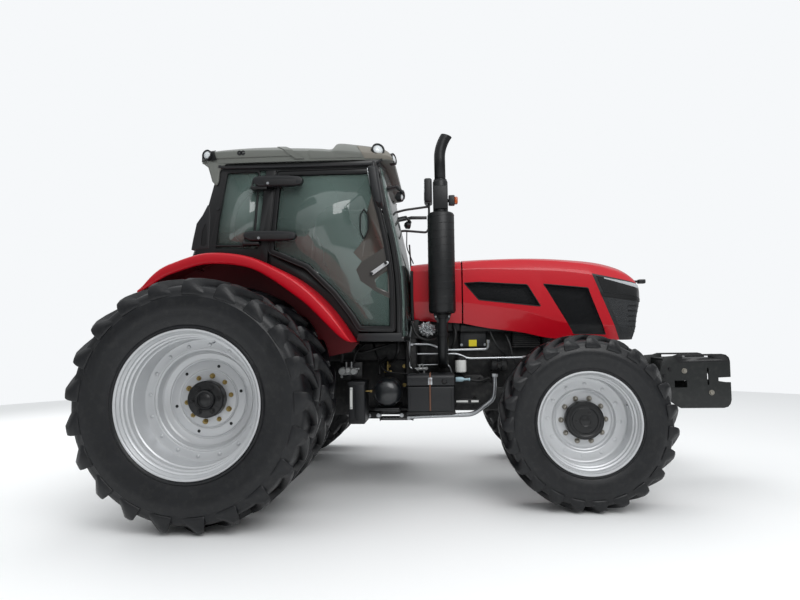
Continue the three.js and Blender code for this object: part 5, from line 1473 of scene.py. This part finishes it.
for tag, s in (("R", -1), ("L", 1)):
    cover = block(f"tappet_cover_{tag}", at(1872, s * 250, 1202), at(2106, s * 330, 1384), 0.012, 3)
    inset = block("inset", at(1900, s * 328, 1230), at(2078, s * 334, 1356), 0.006)
    fit(joined(f"tappet_cover_{tag}", [cover, inset]), MOULDED)
    bolts(f"tappet_bolts_{tag}", [at(x, s * 331, z) for x in (1888, 2092) for z in (1222, 1364)],
        (0, s, 0), 18, STEEL)
    fins = [block("fin", at(2330, s * 246, z), at(2572, s * 336, z + 7), 0.002)
        for z in range(1196, 1340, 18)]
    fins.append(block("fin", at(2342, s * 246, 1190), at(2560, s * 318, 1342), 0.006))
    fit(joined(f"finned_cooler_{tag}", fins), CASTING)
    cast_side = plate(f"sump_side_{tag}", side_on(s * 246, ((1816, 962), (2052, 960), (2180, 850),
        (2300, 846), (2300, 700), (2173, 654), (1816, 656))), (0, s * 0.05, 0), 0.008, 3)
    fit(cast_side, CASTING)
    bolts(f"sump_bolts_{tag}", side_on(s * 297, ((1850, 930), (1960, 930), (2040, 925), (1850, 690),
        (1990, 690), (2130, 690))), (0, s, 0), 20, CASTING)
sticker = plate("blank_sticker", side_on(-335.5, ((1952, 1208), (2020, 1208), (2020, 1265),
    (1952, 1265))), (0, 0.001, 0), 0)
fit(sticker, YELLOW)
feet = boxes("foot", [(1048, -330, 582, 1164, -230, 640, 0.008),
    (1334, -330, 582, 1494, -230, 638, 0.008), (1060, -300, 636, 1480, -220, 672, 0.008)])
fit(joined("mounting_feet_R", feet), CASTING)
bolts("foot_bolts_R", side_on(-331, ((1064, 610), (1148, 610), (1352, 610), (1476, 610))),
    (0, -1, 0), 26, STEEL)
print(len(PIECES), "pieces with the castings' trim")

# %% [markdown]
# Steel lines are bent cold from bright tube, so their corners are smooth and their ends carry unions.
# Rubber hoses hang in wide curves between fixed fittings. The wrapped bundle under the cowl is thin
# foil crumpled by hand: a ball of it is pushed in and out by a cloud texture.

# %% Lines, hoses, filter and fittings
def union(spot, along, size=15):
    r = size * MM
    return turned("union", [(0.0005, 0.014), (r * 0.9, 0.014), (r, 0.012), (r, -0.012),
        (r * 0.9, -0.014), (0.0005, -0.014)], spot, along=Vector(along), steps=6, degrees=20)


LINES = {"upper": (-420, 11, [(1451, 1234), (1624, 1232), (1714, 1180), (2110, 1184),
    (2113, 1250)]), "lower": (-400, 10, [(1449, 1148), (1854, 1147), (1928, 1106), (2420, 1109)]),
    "riser": (-440, 8, [(1462, 1420), (1437, 1300), (1435, 1219), (1433, 1026), (1500, 1020)]),
    "inner": (-350, 7, [(1440, 1050), (1780, 1052), (1800, 960)]), "bottom": (-420, 19,
    [(1420, 607), (1512, 613), (1971, 627), (2149, 753), (2162, 880), (2162, 960)]),}
for name, (y, radius, path) in LINES.items():
    tube = pipe(f"{name}_line", side_on(y, path), radius * MM, 0.05, 4)
    (xa, za), (xb, zb) = path[0], path[-1]
    (xc, zc), (xd, zd) = path[1], path[-2]
    ends = [union(at(xa, y, za), (xc - xa, 0, zc - za), radius * 1.5),
            union(at(xb, y, zb), (xb - xd, 0, zb - zd), radius * 1.5)]
    fit(joined(f"{name}_line", [tube, *ends]), STEEL)
bars = boxes("bar", [(1826, -566, 745, 1925, -560, 761, 0.002),
    (1951, -566, 745, 2013, -560, 761, 0.002)])
fit(joined("marker_bars", bars), WHITE)
fit(block("marker_rail", at(1810, -560, 735), at(2024, -540, 771), 0.003), FRAME_BLACK)
fit(block("marker_rail_arm", at(1980, -545, 745), at(2010, -290, 765), 0.003), FRAME_BLACK)
HOSES = [[(1110, -330, 1240), (1140, -430, 1150), (1200, -440, 1010), (1290, -420, 985),
    (1440, -430, 978)], [(930, -380, 1240), (1000, -470, 1160), (1150, -480, 1200),
    (1290, -420, 1240)], [(1340, -560, 1280), (1352, -600, 1180), (1300, -500, 1090),
    (1240, -380, 1080)], [(1420, -560, 1290), (1440, -620, 1130), (1470, -600, 1030),
    (1520, -560, 992)], [(1460, -520, 1420), (1500, -560, 1300), (1600, -540, 1260),
    (1700, -430, 1290)], [(1800, -330, 1440), (1840, -420, 1330), (1820, -430, 1230),
    (1780, -350, 1160)], [(2120, -330, 1400), (2150, -400, 1280), (2210, -400, 1180),
    (2280, -330, 1120)], [(2250, -300, 1360), (2300, -380, 1240), (2330, -380, 1080),
    (2400, -300, 1000)], [(860, -560, 1090), (880, -600, 1170), (800, -520, 1230)],
    [(960, -560, 1080), (990, -600, 1180), (1050, -500, 1240)], [(1180, -520, 980),
    (1170, -480, 1060), (1230, -400, 1120)], [(1860, -300, 1000), (1900, -380, 940),
    (2020, -380, 900), (2120, -320, 930)],]
hoses = []
for i, path in enumerate(HOSES):
    hoses.append(pipe("hose", [at(*spot) for spot in path], 0.009 + 0.003 * (i % 3), 0.09, 3))
fit(joined("hoses_R", hoses), HOSE)
left = [pipe("hose", [at(x, -y, z) for x, y, z in path], 0.010, 0.09, 3) for path in HOSES[:8:2]]
fit(joined("hoses_L", left), HOSE)

can = turned("oil_filter", [(0.0005, 0.984), (0.04, 0.984), (0.0485, 0.992), (0.0485, 1.086),
    (0.046, 1.094), (0.0005, 1.094)], at(1875, -380, 0), axis="Z", steps=48)
fit(can, WHITE)
head = turned("oil_filter_head", [(0.0005, 1.094), (0.05, 1.094), (0.052, 1.10), (0.052, 1.112),
    (0.03, 1.13), (0.0005, 1.132)], at(1875, -380, 0), axis="Z", steps=40)
arm = block("filter_arm", at(1840, -380, 1112), at(1910, -240, 1136), 0.006)
fit(joined("oil_filter_head", [head, arm]), CASTING)
PALE_BLUE = surface("pale_blue_plastic", "#9DB9C4", 0.4, grain=3.0, relief=0.05, drift=0.06)
bottle = turned("cable_plug", [(0.0005, -0.055), (0.017, -0.055), (0.02, -0.048), (0.02, 0.0),
    (0.009, 0.018), (0.009, 0.052), (0.013, 0.056), (0.013, 0.066), (0.0005, 0.066)],
    at(1882, -500, 932), axis="X", steps=28)
fit(bottle, PALE_BLUE)
fit(pipe("cable_plug_lead", [at(1830, -500, 932), at(1800, -480, 935), at(1790, -400, 960),
    at(1800, -300, 990)], 0.006, 0.03, 3), HOSE)

FOIL = surface("crumpled_foil", "#C9CCCE", 0.24, metallic=0.85, grain=14.0, relief=1.0, drift=0.25,
    patch=0.03)
hold()
bpy.ops.mesh.primitive_ico_sphere_add(subdivisions=5, radius=1.0)
foil = fresh("foil_wrap")
foil.data.transform(
    Matrix.Translation(at(1590, -480, 1362)) @ Matrix.Diagonal((0.082, 0.075, 0.066, 1)))
hold(foil)
clouds = bpy.data.textures.new("crumple", "CLOUDS")
clouds.noise_scale = 0.028
clouds.noise_type = "HARD_NOISE"
crumple = foil.modifiers.new("crumple", "DISPLACE")
crumple.texture = clouds
crumple.strength = 0.05
crumple.mid_level = 0.6
bpy.ops.object.modifier_apply(modifier=crumple.name)
fit(smooth(foil, 22), FOIL)


def cluster(name, spot, parts, material):
    """A group of small turned fittings: each part is (x, y, z, axis, radius, length) about the spot."""
    made = []
    for x, y, z, axis, radius, length in parts:
        r, h = radius * MM, length * MM / 2
        made.append(turned("part", [(0.0005, h), (r * 0.8, h), (r, h * 0.85), (r, h * 0.3),
            (r * 0.82, h * 0.25), (r * 0.82, -h * 0.2), (r, -h * 0.25), (r, -h * 0.8),
            (r * 0.8, -h), (0.0005, -h)], spot + Vector((x, y, z)) * MM, axis=axis, steps=20))
    return fit(joined(name, made), material)


VALVE = surface("cast_aluminium", "#A9ABAB", 0.42, metallic=0.8, grain=2.5, relief=0.5, drift=0.2,
    patch=0.03)
cluster("brake_valve", at(930, -560, 1014), [(-60, 0, 0, "Y", 34, 70), (-10, -6, 8, "Y", 26, 80),
    (34, 4, -4, "Y", 30, 66), (-12, 0, -20, "X", 16, 130), (-30, 0, 48, "Z", 9, 60),
    (14, 0, 46, "Z", 9, 64), (60, 6, 18, "X", 12, 44), (-70, 0, -34, "Z", 11, 50)], VALVE)
cluster("relief_valve", at(1545, -480, 1022), [(0, 0, 0, "X", 17, 84), (-24, -6, 16, "Z", 9, 44),
    (14, -6, -14, "Z", 8, 48), (34, 0, 4, "Y", 14, 40), (-40, 0, 0, "Y", 15, 38),
    (4, -10, 22, "Z", 6, 40)], VALVE)
fit(block("valve_plate", at(838, -520, 940), at(1030, -508, 1086), 0.004), FRAME_BLACK)
fit(block("valve_arm", at(900, -510, 1000), at(960, -250, 1040), 0.006), FRAME_BLACK)
fit(block("relief_arm", at(1530, -475, 1000), at(1560, -235, 1030), 0.005), FRAME_BLACK)
cluster("tank_elbow", at(1094, -600, 847), [(0, 0, 0, "X", 8, 60), (22, 0, 0, "X", 12, 18),
    (-24, 0, 0, "Y", 9, 30)], ZINC)
cluster("line_tee", at(1242, -420, 1000), [(0, 0, 30, "Z", 11, 60), (0, 0, 0, "X", 11, 66),
    (0, 0, 66, "Z", 8, 40)], ZINC)
cluster("starter", at(1640, -330, 850), [(0, 0, 0, "X", 62, 240), (30, 0, 84, "X", 30, 130)],
    CASTING)
cluster("fuel_pump", at(2210, -310, 1040), [(0, 0, 0, "X", 52, 150), (-40, -8, 64, "Z", 18, 60),
    (0, -8, 64, "Z", 18, 60), (40, -8, 64, "Z", 18, 60), (0, -40, 0, "Y", 22, 60)], CASTING)
tank_shelf = boxes("shelf", [(1160, -760, 700, 1362, -300, 722, 0.005),
    (1420, -750, 668, 1816, -300, 690, 0.005), (1500, -330, 640, 1740, -230, 690, 0.005),
    (1180, -330, 640, 1340, -230, 720, 0.005), (960, -420, 640, 1050, -230, 720, 0.005)])
fit(joined("bracketry_R", tank_shelf), FRAME_BLACK)
print(len(PIECES), "pieces with the lines")

# %% [markdown]
# With the bonnet up the engine bay shows. The cooling pack is a tall finned core in a frame, with a tank
# and filler cap on top and a fan in a round shroud behind. On the engine stand the valve cover and, beside
# it, the round air cleaner. Each is a turned or bevelled piece set against its casting.

# %% Engine bay
fins = [block("fin", at(2918, -292, 1096 + 30 * i), at(2928, 292, 1102 + 30 * i), 0.001,
    1) for i in range(22)]
fit(joined("core_fins", fins), STEEL)
frame_bars = [block("bar", at(2694, y, 1074), at(2930, y + 26, 1764), 0.005) for y in (-326, 300)]
frame_bars.append(block("bar", at(2694, -326, 1740), at(2930, 326, 1770), 0.005))
fit(joined("core_frame", frame_bars), FRAME_BLACK)
fit(block("top_tank", at(2712, -296, 1768), at(2908, 296, 1832), 0.016, 3), MOULDED)
fit(turned("filler_cap", [(0.0005, 0.03), (0.03, 0.028), (0.036, 0.018), (0.036, 0.006),
    (0.026, 0.0), (0.0005, 0.0)], at(2810, 130, 1831), axis="Z", steps=24), STEEL)
FAN = at(2640, 0, 1410)
fit(turned("fan_shroud", [(0.262, -0.03), (0.272, -0.03), (0.276, 0.02), (0.30, 0.056),
    (0.29, 0.056), (0.266, 0.022)], FAN, axis="X", steps=48), MOULDED)
blade = plate("fan_blades", [FAN + Vector(p) for p in ((-0.014, -0.03, 0.05), (0.012, 0.03, 0.05),
              (0.012, 0.055, 0.245), (-0.014, -0.045, 0.25))], (0.003, 0, 0), 0.0005, 1)
fit(round_about(blade, 8, FAN, axis="X"), MOULDED)
fit(turned("fan_hub", [(0.0005, -0.08), (0.05, -0.08), (0.06, -0.06), (0.062, 0.016),
    (0.0005, 0.02)], FAN, axis="X", steps=28), CASTING)
fit(pipe("top_hose", [at(2716, 150, 1800), at(2640, 150, 1800), at(2520, 120, 1640),
    at(2470, 90, 1420), at(2440, 90, 1345)], 0.025, bend=0.06, sides=12), HOSE)
fit(block("valve_cover", at(1590, -104, 1338), at(2420, 104, 1432), 0.018, 3), CASTING)
bolts("valve_cover_bolts", [at(x, 0, 1432) for x in range(1660, 2400, 120)], (0, 0, 1), 26, ZINC)
fit(turned("air_cleaner", [(0.0005, -0.25), (0.10, -0.248), (0.108, -0.236), (0.108, -0.20),
    (0.102, -0.196), (0.102, 0.17), (0.11, 0.176), (0.11, 0.21), (0.10, 0.226), (0.0005, 0.23)],
    at(2180, 190, 1560), axis="X", steps=40), MOULDED)
fit(pipe("intake_hose", [at(1935, 190, 1560), at(1850, 190, 1550), at(1800, 150, 1460),
    at(1800, 150, 1338)], 0.038, bend=0.07, sides=12), HOSE)
fit(joined("cleaner_legs", [block("leg", at(x, 150, 1338), at(x + 26, 230, 1462), 0.004)
    for x in (2020, 2300)]), FRAME_BLACK)
print(len(PIECES), "pieces with the engine bay")

# %% [markdown]
# At the rear the power take-off shaft, its guard, the hydraulic couplers and the top link stand on the
# axle casting above the drawbar. A work lamp, a wiper and the rear light clusters are on the cab.

# %% Rear fittings
guard = plate("pto_guard", end_on(-486, ((-150, 560), (-150, 760), (-110, 800), (110, 800),
    (150, 760), (150, 560), (138, 560), (138, 752), (104, 786), (-104, 786), (-138, 752),
    (-138, 560))), (-0.11, 0, 0), 0.003)
fit(guard, FRAME_BLACK)
stub = turned("pto_shaft", [(0.0005, 0.0), (0.058, 0.0), (0.058, -0.018), (0.03, -0.022),
    (0.022, -0.03), (0.022, -0.05), (0.019, -0.055), (0.019, -0.06), (0.022, -0.065),
    (0.022, -0.092), (0.019, -0.098), (0.0005, -0.098)], at(-484, 0, 660), axis="X", steps=36)
fit(stub, STEEL)
rear_plate = block("coupler_block", at(-520, -190, 1010), at(-482, 190, 1110), 0.008, 3)
fit(rear_plate, CASTING)
sockets = []
for i in range(6):
    sockets.append(turned("coupler", [(0.0005, 0.0), (0.024, 0.0), (0.026, -0.01), (0.026, -0.034),
        (0.022, -0.04), (0.016, -0.042), (0.014, -0.03), (0.0005, -0.03)],
        at(-520, -150 + 60 * i, 1060), axis="X", steps=24))
fit(joined("hydraulic_couplers", sockets), ZINC)
link = [pipe("top", [at(-500, 0, 930), at(-1000, 0, 1000)], 0.017, 0),
    turned("top", [(0.0005, 0.11), (0.028, 0.11), (0.028, -0.11), (0.0005, -0.11)],
        at(-750, 0, 965), along=Vector((-500, 0, 70)), steps=24),
    turned("top", [(0.014, 0.022), (0.032, 0.022), (0.032, -0.022), (0.014, -0.022)],
        at(-1016, 0, 1002), steps=28),
    block("top", at(-520, -40, 890), at(-480, -26, 970), 0.004),
    block("top", at(-520, 26, 890), at(-480, 40, 970), 0.004)]
fit(joined("top_link", link), FRAME_BLACK)
for tag, s in (("R", -1), ("L", 1)):
    lamp = block(f"rear_light_{tag}", at(-430, s * 520, 1888), at(-403, s * 640, 1980), 0.008, 3)
    fit(lamp, MOULDED)
    fit(block(f"rear_light_red_{tag}", at(-437, s * 528, 1934), at(-428, s * 632, 1974), 0.004),
        LENS_RED)
    fit(block(f"rear_light_amber_{tag}", at(-437, s * 528, 1894), at(-428, s * 632, 1930), 0.004),
        LENS_AMBER)
plate_holder = block("number_plate", at(-412, -160, 1900), at(-403, 160, 1982), 0.004)
fit(plate_holder, WHITE)
BULGE = 48


def rear_glass_x(y, z):
    return -372 + (z - 2000) * 248 / 695 - BULGE * (1 - (abs(y) / 750) ** 2.2)


rows = [[at(rear_glass_x(y, z), y, z) for y in range(-750, 751, 75)]
    for z in range(2004, 2700, 115)]
pane = skin("rear_glass", rows)
face_out(pane, at(500, 0, 2300))
fit(smooth(thicken(pane, 0.005), 40), GLASS, stands_for=["rear_window"])
arm = [pipe("wiper", [at(rear_glass_x(0, 2560) - 26, 0, 2560),
    at(rear_glass_x(60, 2440) - 22, 60, 2440), at(rear_glass_x(180, 2320) - 16, 180, 2320)], 0.006,
    0.03),
    pipe("wiper", [at(rear_glass_x(90, 2230) - 12, 90, 2230),
        at(rear_glass_x(230, 2420) - 12, 230, 2420)], 0.008, 0),
    block("wiper", at(-286, -50, 2540), at(-222, 50, 2610), 0.01, 3)]
fit(joined("rear_wiper", arm), MOULDED)
wiper_front = [pipe("blade", [at(1452, -60, 1700), at(1440, -320, 2120)], 0.007, 0),
               pipe("blade", [at(1456, 0, 1560), at(1452, -150, 1860)], 0.006, 0)]
fit(joined("front_wiper", wiper_front), MOULDED)
print(len(PIECES), "pieces with the rear fittings")

# %% [markdown]
# The seat is soft. Each pad starts as a slightly small block, is remeshed finely and blown up by
# pressure as cloth, with its movement held to about 20 mm, so it swells between its seams as foam
# under a sewn cover does. The gaps between pads are the sewn channels, and a welt runs round the edge.

# %% Seat
LEAN = -0.25


def lean_back(piece, foot):
    for vertex in piece.data.vertices:
        vertex.co.x += LEAN * (vertex.co.z - foot)
    return piece


def pad(name, low, high, edge):
    piece = block(name, low, high, edge, 3)
    hold(piece)
    mesh = piece.modifiers.new("even", "REMESH")
    mesh.mode = "VOXEL"
    mesh.voxel_size = 0.007
    bpy.ops.object.modifier_apply(modifier=mesh.name)
    return piece


def stuff(pads, reach, steps=18):
    """Blows the pads up as cloth under pressure and holds every point within reach of its start."""
    for piece in pads:
        hold(piece)
        cover = piece.modifiers.new("cover", "CLOTH")
        cover.settings.use_pressure = True
        cover.settings.uniform_pressure_force = 4.0
        cover.settings.effector_weights.gravity = 0.0
        cover.settings.quality = 5
        cover.point_cache.frame_end = steps
    for step in range(1, steps + 1):
        bpy.context.scene.frame_set(step)
    graph = bpy.context.evaluated_depsgraph_get()
    for piece in pads:
        swollen = [vertex.co.copy() for vertex in piece.evaluated_get(graph).data.vertices]
        piece.modifiers.clear()
        for vertex, target in zip(piece.data.vertices, swollen):
            move = target - vertex.co
            if move.length > reach:
                move = move.normalized() * reach
            vertex.co += move
        piece.data.update()
    bpy.context.scene.frame_set(1)


base_pads = [pad("pad", at(158, -142, 1694), at(612, 142, 1752), 0.022),
             pad("pad", at(160, -228, 1690), at(600, -160, 1762), 0.024),
             pad("pad", at(160, 160, 1690), at(600, 228, 1762), 0.024)]
back_pads = [pad("pad", at(152, -130, 1806), at(206, 130, 2060), 0.02),
             pad("pad", at(152, -130, 2082), at(206, 130, 2230), 0.02),
             pad("pad", at(150, -218, 1806), at(214, -150, 2220), 0.022),
             pad("pad", at(150, 150, 1806), at(214, 218, 2220), 0.022),
             pad("pad", at(150, -120, 2262), at(206, 120, 2400), 0.022)]
stuff(base_pads + back_pads, 0.020)
welts = []
for y in (-150, 150):
    welts.append(pipe("welt", [at(160, y, 1770), at(606, y, 1768), at(626, y, 1740),
        at(626, y, 1700)], 0.004, 0.02, 3))
base = joined("seat_cushion_pads", base_pads)
fit(smooth(base, 60), SEAT_CLOTH, stands_for=["seat_cushion"])
back = lean_back(joined("seat_back_pads", back_pads), 1.78)
fit(smooth(back, 60), SEAT_CLOTH, stands_for=["seat_backrest"])
fit(joined("seat_welts", welts), SEAL)
shell = lean_back(joined("seat_shell", boxes("shell", [(122, -226, 1790, 150, 226, 2240, 0.014, 3),
    (122, -90, 2230, 148, 90, 2396, 0.012, 3)])), 1.78)
pan = boxes("pan", [(136, -240, 1642, 632, 240, 1684, 0.016, 3),
    (200, -150, 1470, 560, 150, 1500, 0.01), (180, -170, 1300, 580, 170, 1330, 0.01)])
bellows = [block("fold", at(210 + 8 * (i % 2), -140 - 6 * (i % 2), 1332 + 15 * i),
                 at(552 + 8 * (i % 2), 140 + 6 * (i % 2), 1345 + 15 * i), 0.005) for i in range(9)]
rest = boxes("rest", [(150, -330, 1900, 470, -262, 1950, 0.02, 3),
    (150, 262, 1900, 470, 330, 1950, 0.02, 3), (130, -300, 1700, 180, -250, 1905, 0.012),
    (130, 250, 1700, 180, 300, 1905, 0.012)])
fit(joined("seat_frame", [shell, *pan, *bellows, *rest]), MOULDED)
print("seat", [round(v, 3) for v in base.dimensions], [round(v, 3) for v in back.dimensions])

# %% [markdown]
# The steering wheel is a thin foam-covered ring on three spokes. In front of it stands the console
# with its instrument hood, and beside the seat the side console carries the levers.

# %% Wheel, console, levers and pedals
low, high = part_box("steering_wheel")
WHEEL_TILT = 0.48
wheel_axis = Vector((-math.sin(WHEEL_TILT), 0, math.cos(WHEEL_TILT)))
hub = at(1010, 0, 2080)
grip = [(0.187 + 0.012 * math.cos(a), 0.012 * math.sin(a))
    for a in (2 * math.pi * i / 12 for i in range(12))]
across = Vector((0, 1, 0)).cross(wheel_axis)
wheel_parts = [turned("rim", grip, hub, along=wheel_axis, steps=64, degrees=60),
    turned("rim", [(0.0005, 0.016), (0.04, 0.014), (0.052, 0.004), (0.054, -0.016), (0.03, -0.03),
        (0.0005, -0.03)], hub - wheel_axis * 0.02, along=wheel_axis, steps=36)]
for angle in (math.pi / 2, math.pi * 7 / 6, math.pi * 11 / 6):
    out = Vector((0, 1, 0)) * math.cos(angle) + across * math.sin(angle)
    wheel_parts.append(pipe("rim", [hub - wheel_axis * 0.02 + out * 0.04, hub - wheel_axis * 0.012
        + out * 0.11, hub + out * 0.184], 0.009, 0.05, 4))
fit(joined("steering_wheel_ring", wheel_parts), MOULDED, "steering_wheel",
    stands_for=["steering_wheel"])
print("wheel box", [round(v, 3) for v in low], [round(v, 3) for v in high])

console = plate("console", side_on(-214, ((1044, 1302), (1326, 1302), (1326, 1900), (1310, 2010),
    (1210, 2080), (1120, 2060), (1064, 2020), (1078, 1900), (1120, 1780), (1060, 1560))),
    (0, 0.428, 0), 0.018, 3)
hood = plate("hood", side_on(-196, ((1092, 2046), (1204, 2096), (1312, 2030), (1318, 2004),
    (1120, 2010))), (0, 0.392, 0), 0.014, 3)
column = pipe("column", [at(1120, 0, 1850), hub - wheel_axis * 0.05], 0.034, 0, 6)
fit(joined("dash_tower", [console, hood, column]), MOULDED, stands_for=["dash_console"])
screen = plate("dash_screen", [hub + Vector((x, y, z)) * MM for x, y, z in (
    (92, -150, -30), (92, 150, -30), (146, 150, 24), (146, -150, 24))], (0.004, 0, -0.004), 0.001)
fit(screen, LENS_DARK)
side_console = plate("side_console", side_on(-640, ((-300, 1302), (700, 1302), (820, 1420),
    (760, 1720), (560, 1830), (240, 1850), (-120, 1900), (-300, 1900))), (0, 0.25, 0), 0.02, 3)
left_console = plate("left_console", side_on(400, ((-300, 1302), (360, 1302), (420, 1560),
    (300, 1760), (-300, 1800))), (0, 0.24, 0), 0.02, 3)
fit(joined("side_consoles", [side_console, left_console]), MOULDED)
knobs, sticks = [], []
for x, y, reach in ((300, -470, 150), (380, -470, 170), (460, -470, 150), (600, -520, 120), (640, -470, 120),
                    (520, -560, 100)):
    foot = at(x, y, 1830)
    top = foot + Vector((0.03, 0.01, reach * MM))
    sticks.append(pipe("stick", [foot, top], 0.006, 0, 4))
    knobs.append(turned("knob", [(0.0005, 0.034), (0.012, 0.032), (0.018, 0.02), (0.017, 0.004),
        (0.009, -0.012), (0.0005, -0.012)], top, axis="Z", steps=24))
fit(joined("lever_rods", sticks), STEEL)
fit(joined("lever_knobs", knobs), MOULDED)
pedals = []
for y in (-190, -110, 150):
    pedals += [plate("pedal", [at(1000, y, z) + Vector((x * MM, 0, 0)) for x,
        z in ((0, 1400), (26, 1400), (90, 1490), (66, 1496))], (0, 0.07, 0), 0.004),
        pipe("pedal", [at(1060, y + 35, 1470), at(1200, y + 35, 1560), at(1290, y + 35, 1600)],
            0.009, 0.05)]
fit(joined("pedals", pedals), FRAME_BLACK)
liner = plate("roof_liner", side_on(-740, ((-60, 2742), (1140, 2742), (1180, 2705), (1120, 2690),
    (0, 2690), (-80, 2700))), (0, 1.48, 0), 0.012)
fit(liner, WARM_GREY)
mat = block("floor_mat", at(-300, -640, 1301), at(1380, 640, 1308), 0.003)
fit(mat, SEAL)
rear_trim = plate("rear_trim", end_on(-338, ((-640, 1302), (640, 1302), (640, 1960), (-640, 1960))),
    (0.012, 0, 0), 0.003)
fit(rear_trim, MOULDED)
print(len(PIECES), "pieces with the inside")

# %% [markdown]
# The parts of the CAD frame that stay visible are flame-cut, folded or cast, so their edges are
# rounded by live modifiers, which leaves their own vertices alone, and each gets its real finish.

# %% Finishes of the kept parts
KEPT = {
    "pillar_front_L": FRAME_BLACK, "pillar_front_R": FRAME_BLACK, "side_frame_L": FRAME_BLACK,
    "side_frame_R": FRAME_BLACK, "cab_header": FRAME_BLACK, "cab_tub": FRAME_BLACK,
    "windscreen": GLASS, "quarter_glass_L": GLASS, "quarter_glass_R": GLASS,
    "door_glass_L": GLASS, "door_glass_R": GLASS, "engine_block": CASTING,
    "transmission_housing": CASTING, "front_axle_beam": CASTING, "knuckle_L": CASTING,
    "knuckle_R": CASTING, "radiator_pack": CASTING, "front_frame": BRACKET_BLACK,
    "tie_rod": FRAME_BLACK, "lift_arms": FRAME_BLACK, "lower_link_L": FRAME_BLACK,
    "lower_link_R": FRAME_BLACK, "lift_rod_L": FRAME_BLACK, "lift_rod_R": FRAME_BLACK,
    "drawbar": BRACKET_BLACK,
}
GLAZED = ("windscreen", "quarter_glass_L", "quarter_glass_R", "door_glass_L", "door_glass_R")
for name, finish in KEPT.items():
    node = NODES[name]
    node.data.materials.clear()
    node.data.materials.append(finish)
    hold(node)
    weld = node.modifiers.new("weld", "WELD")
    weld.merge_threshold = 1e-5
    if name not in GLAZED:
        edge = node.modifiers.new("edge", "BEVEL")
        edge.width = 0.004
        edge.segments = 2
        edge.limit_method = "ANGLE"
        edge.angle_limit = math.radians(34)
    bpy.ops.object.shade_smooth_by_angle(angle=math.radians(32))
print(len(KEPT), "CAD parts keep their shape")
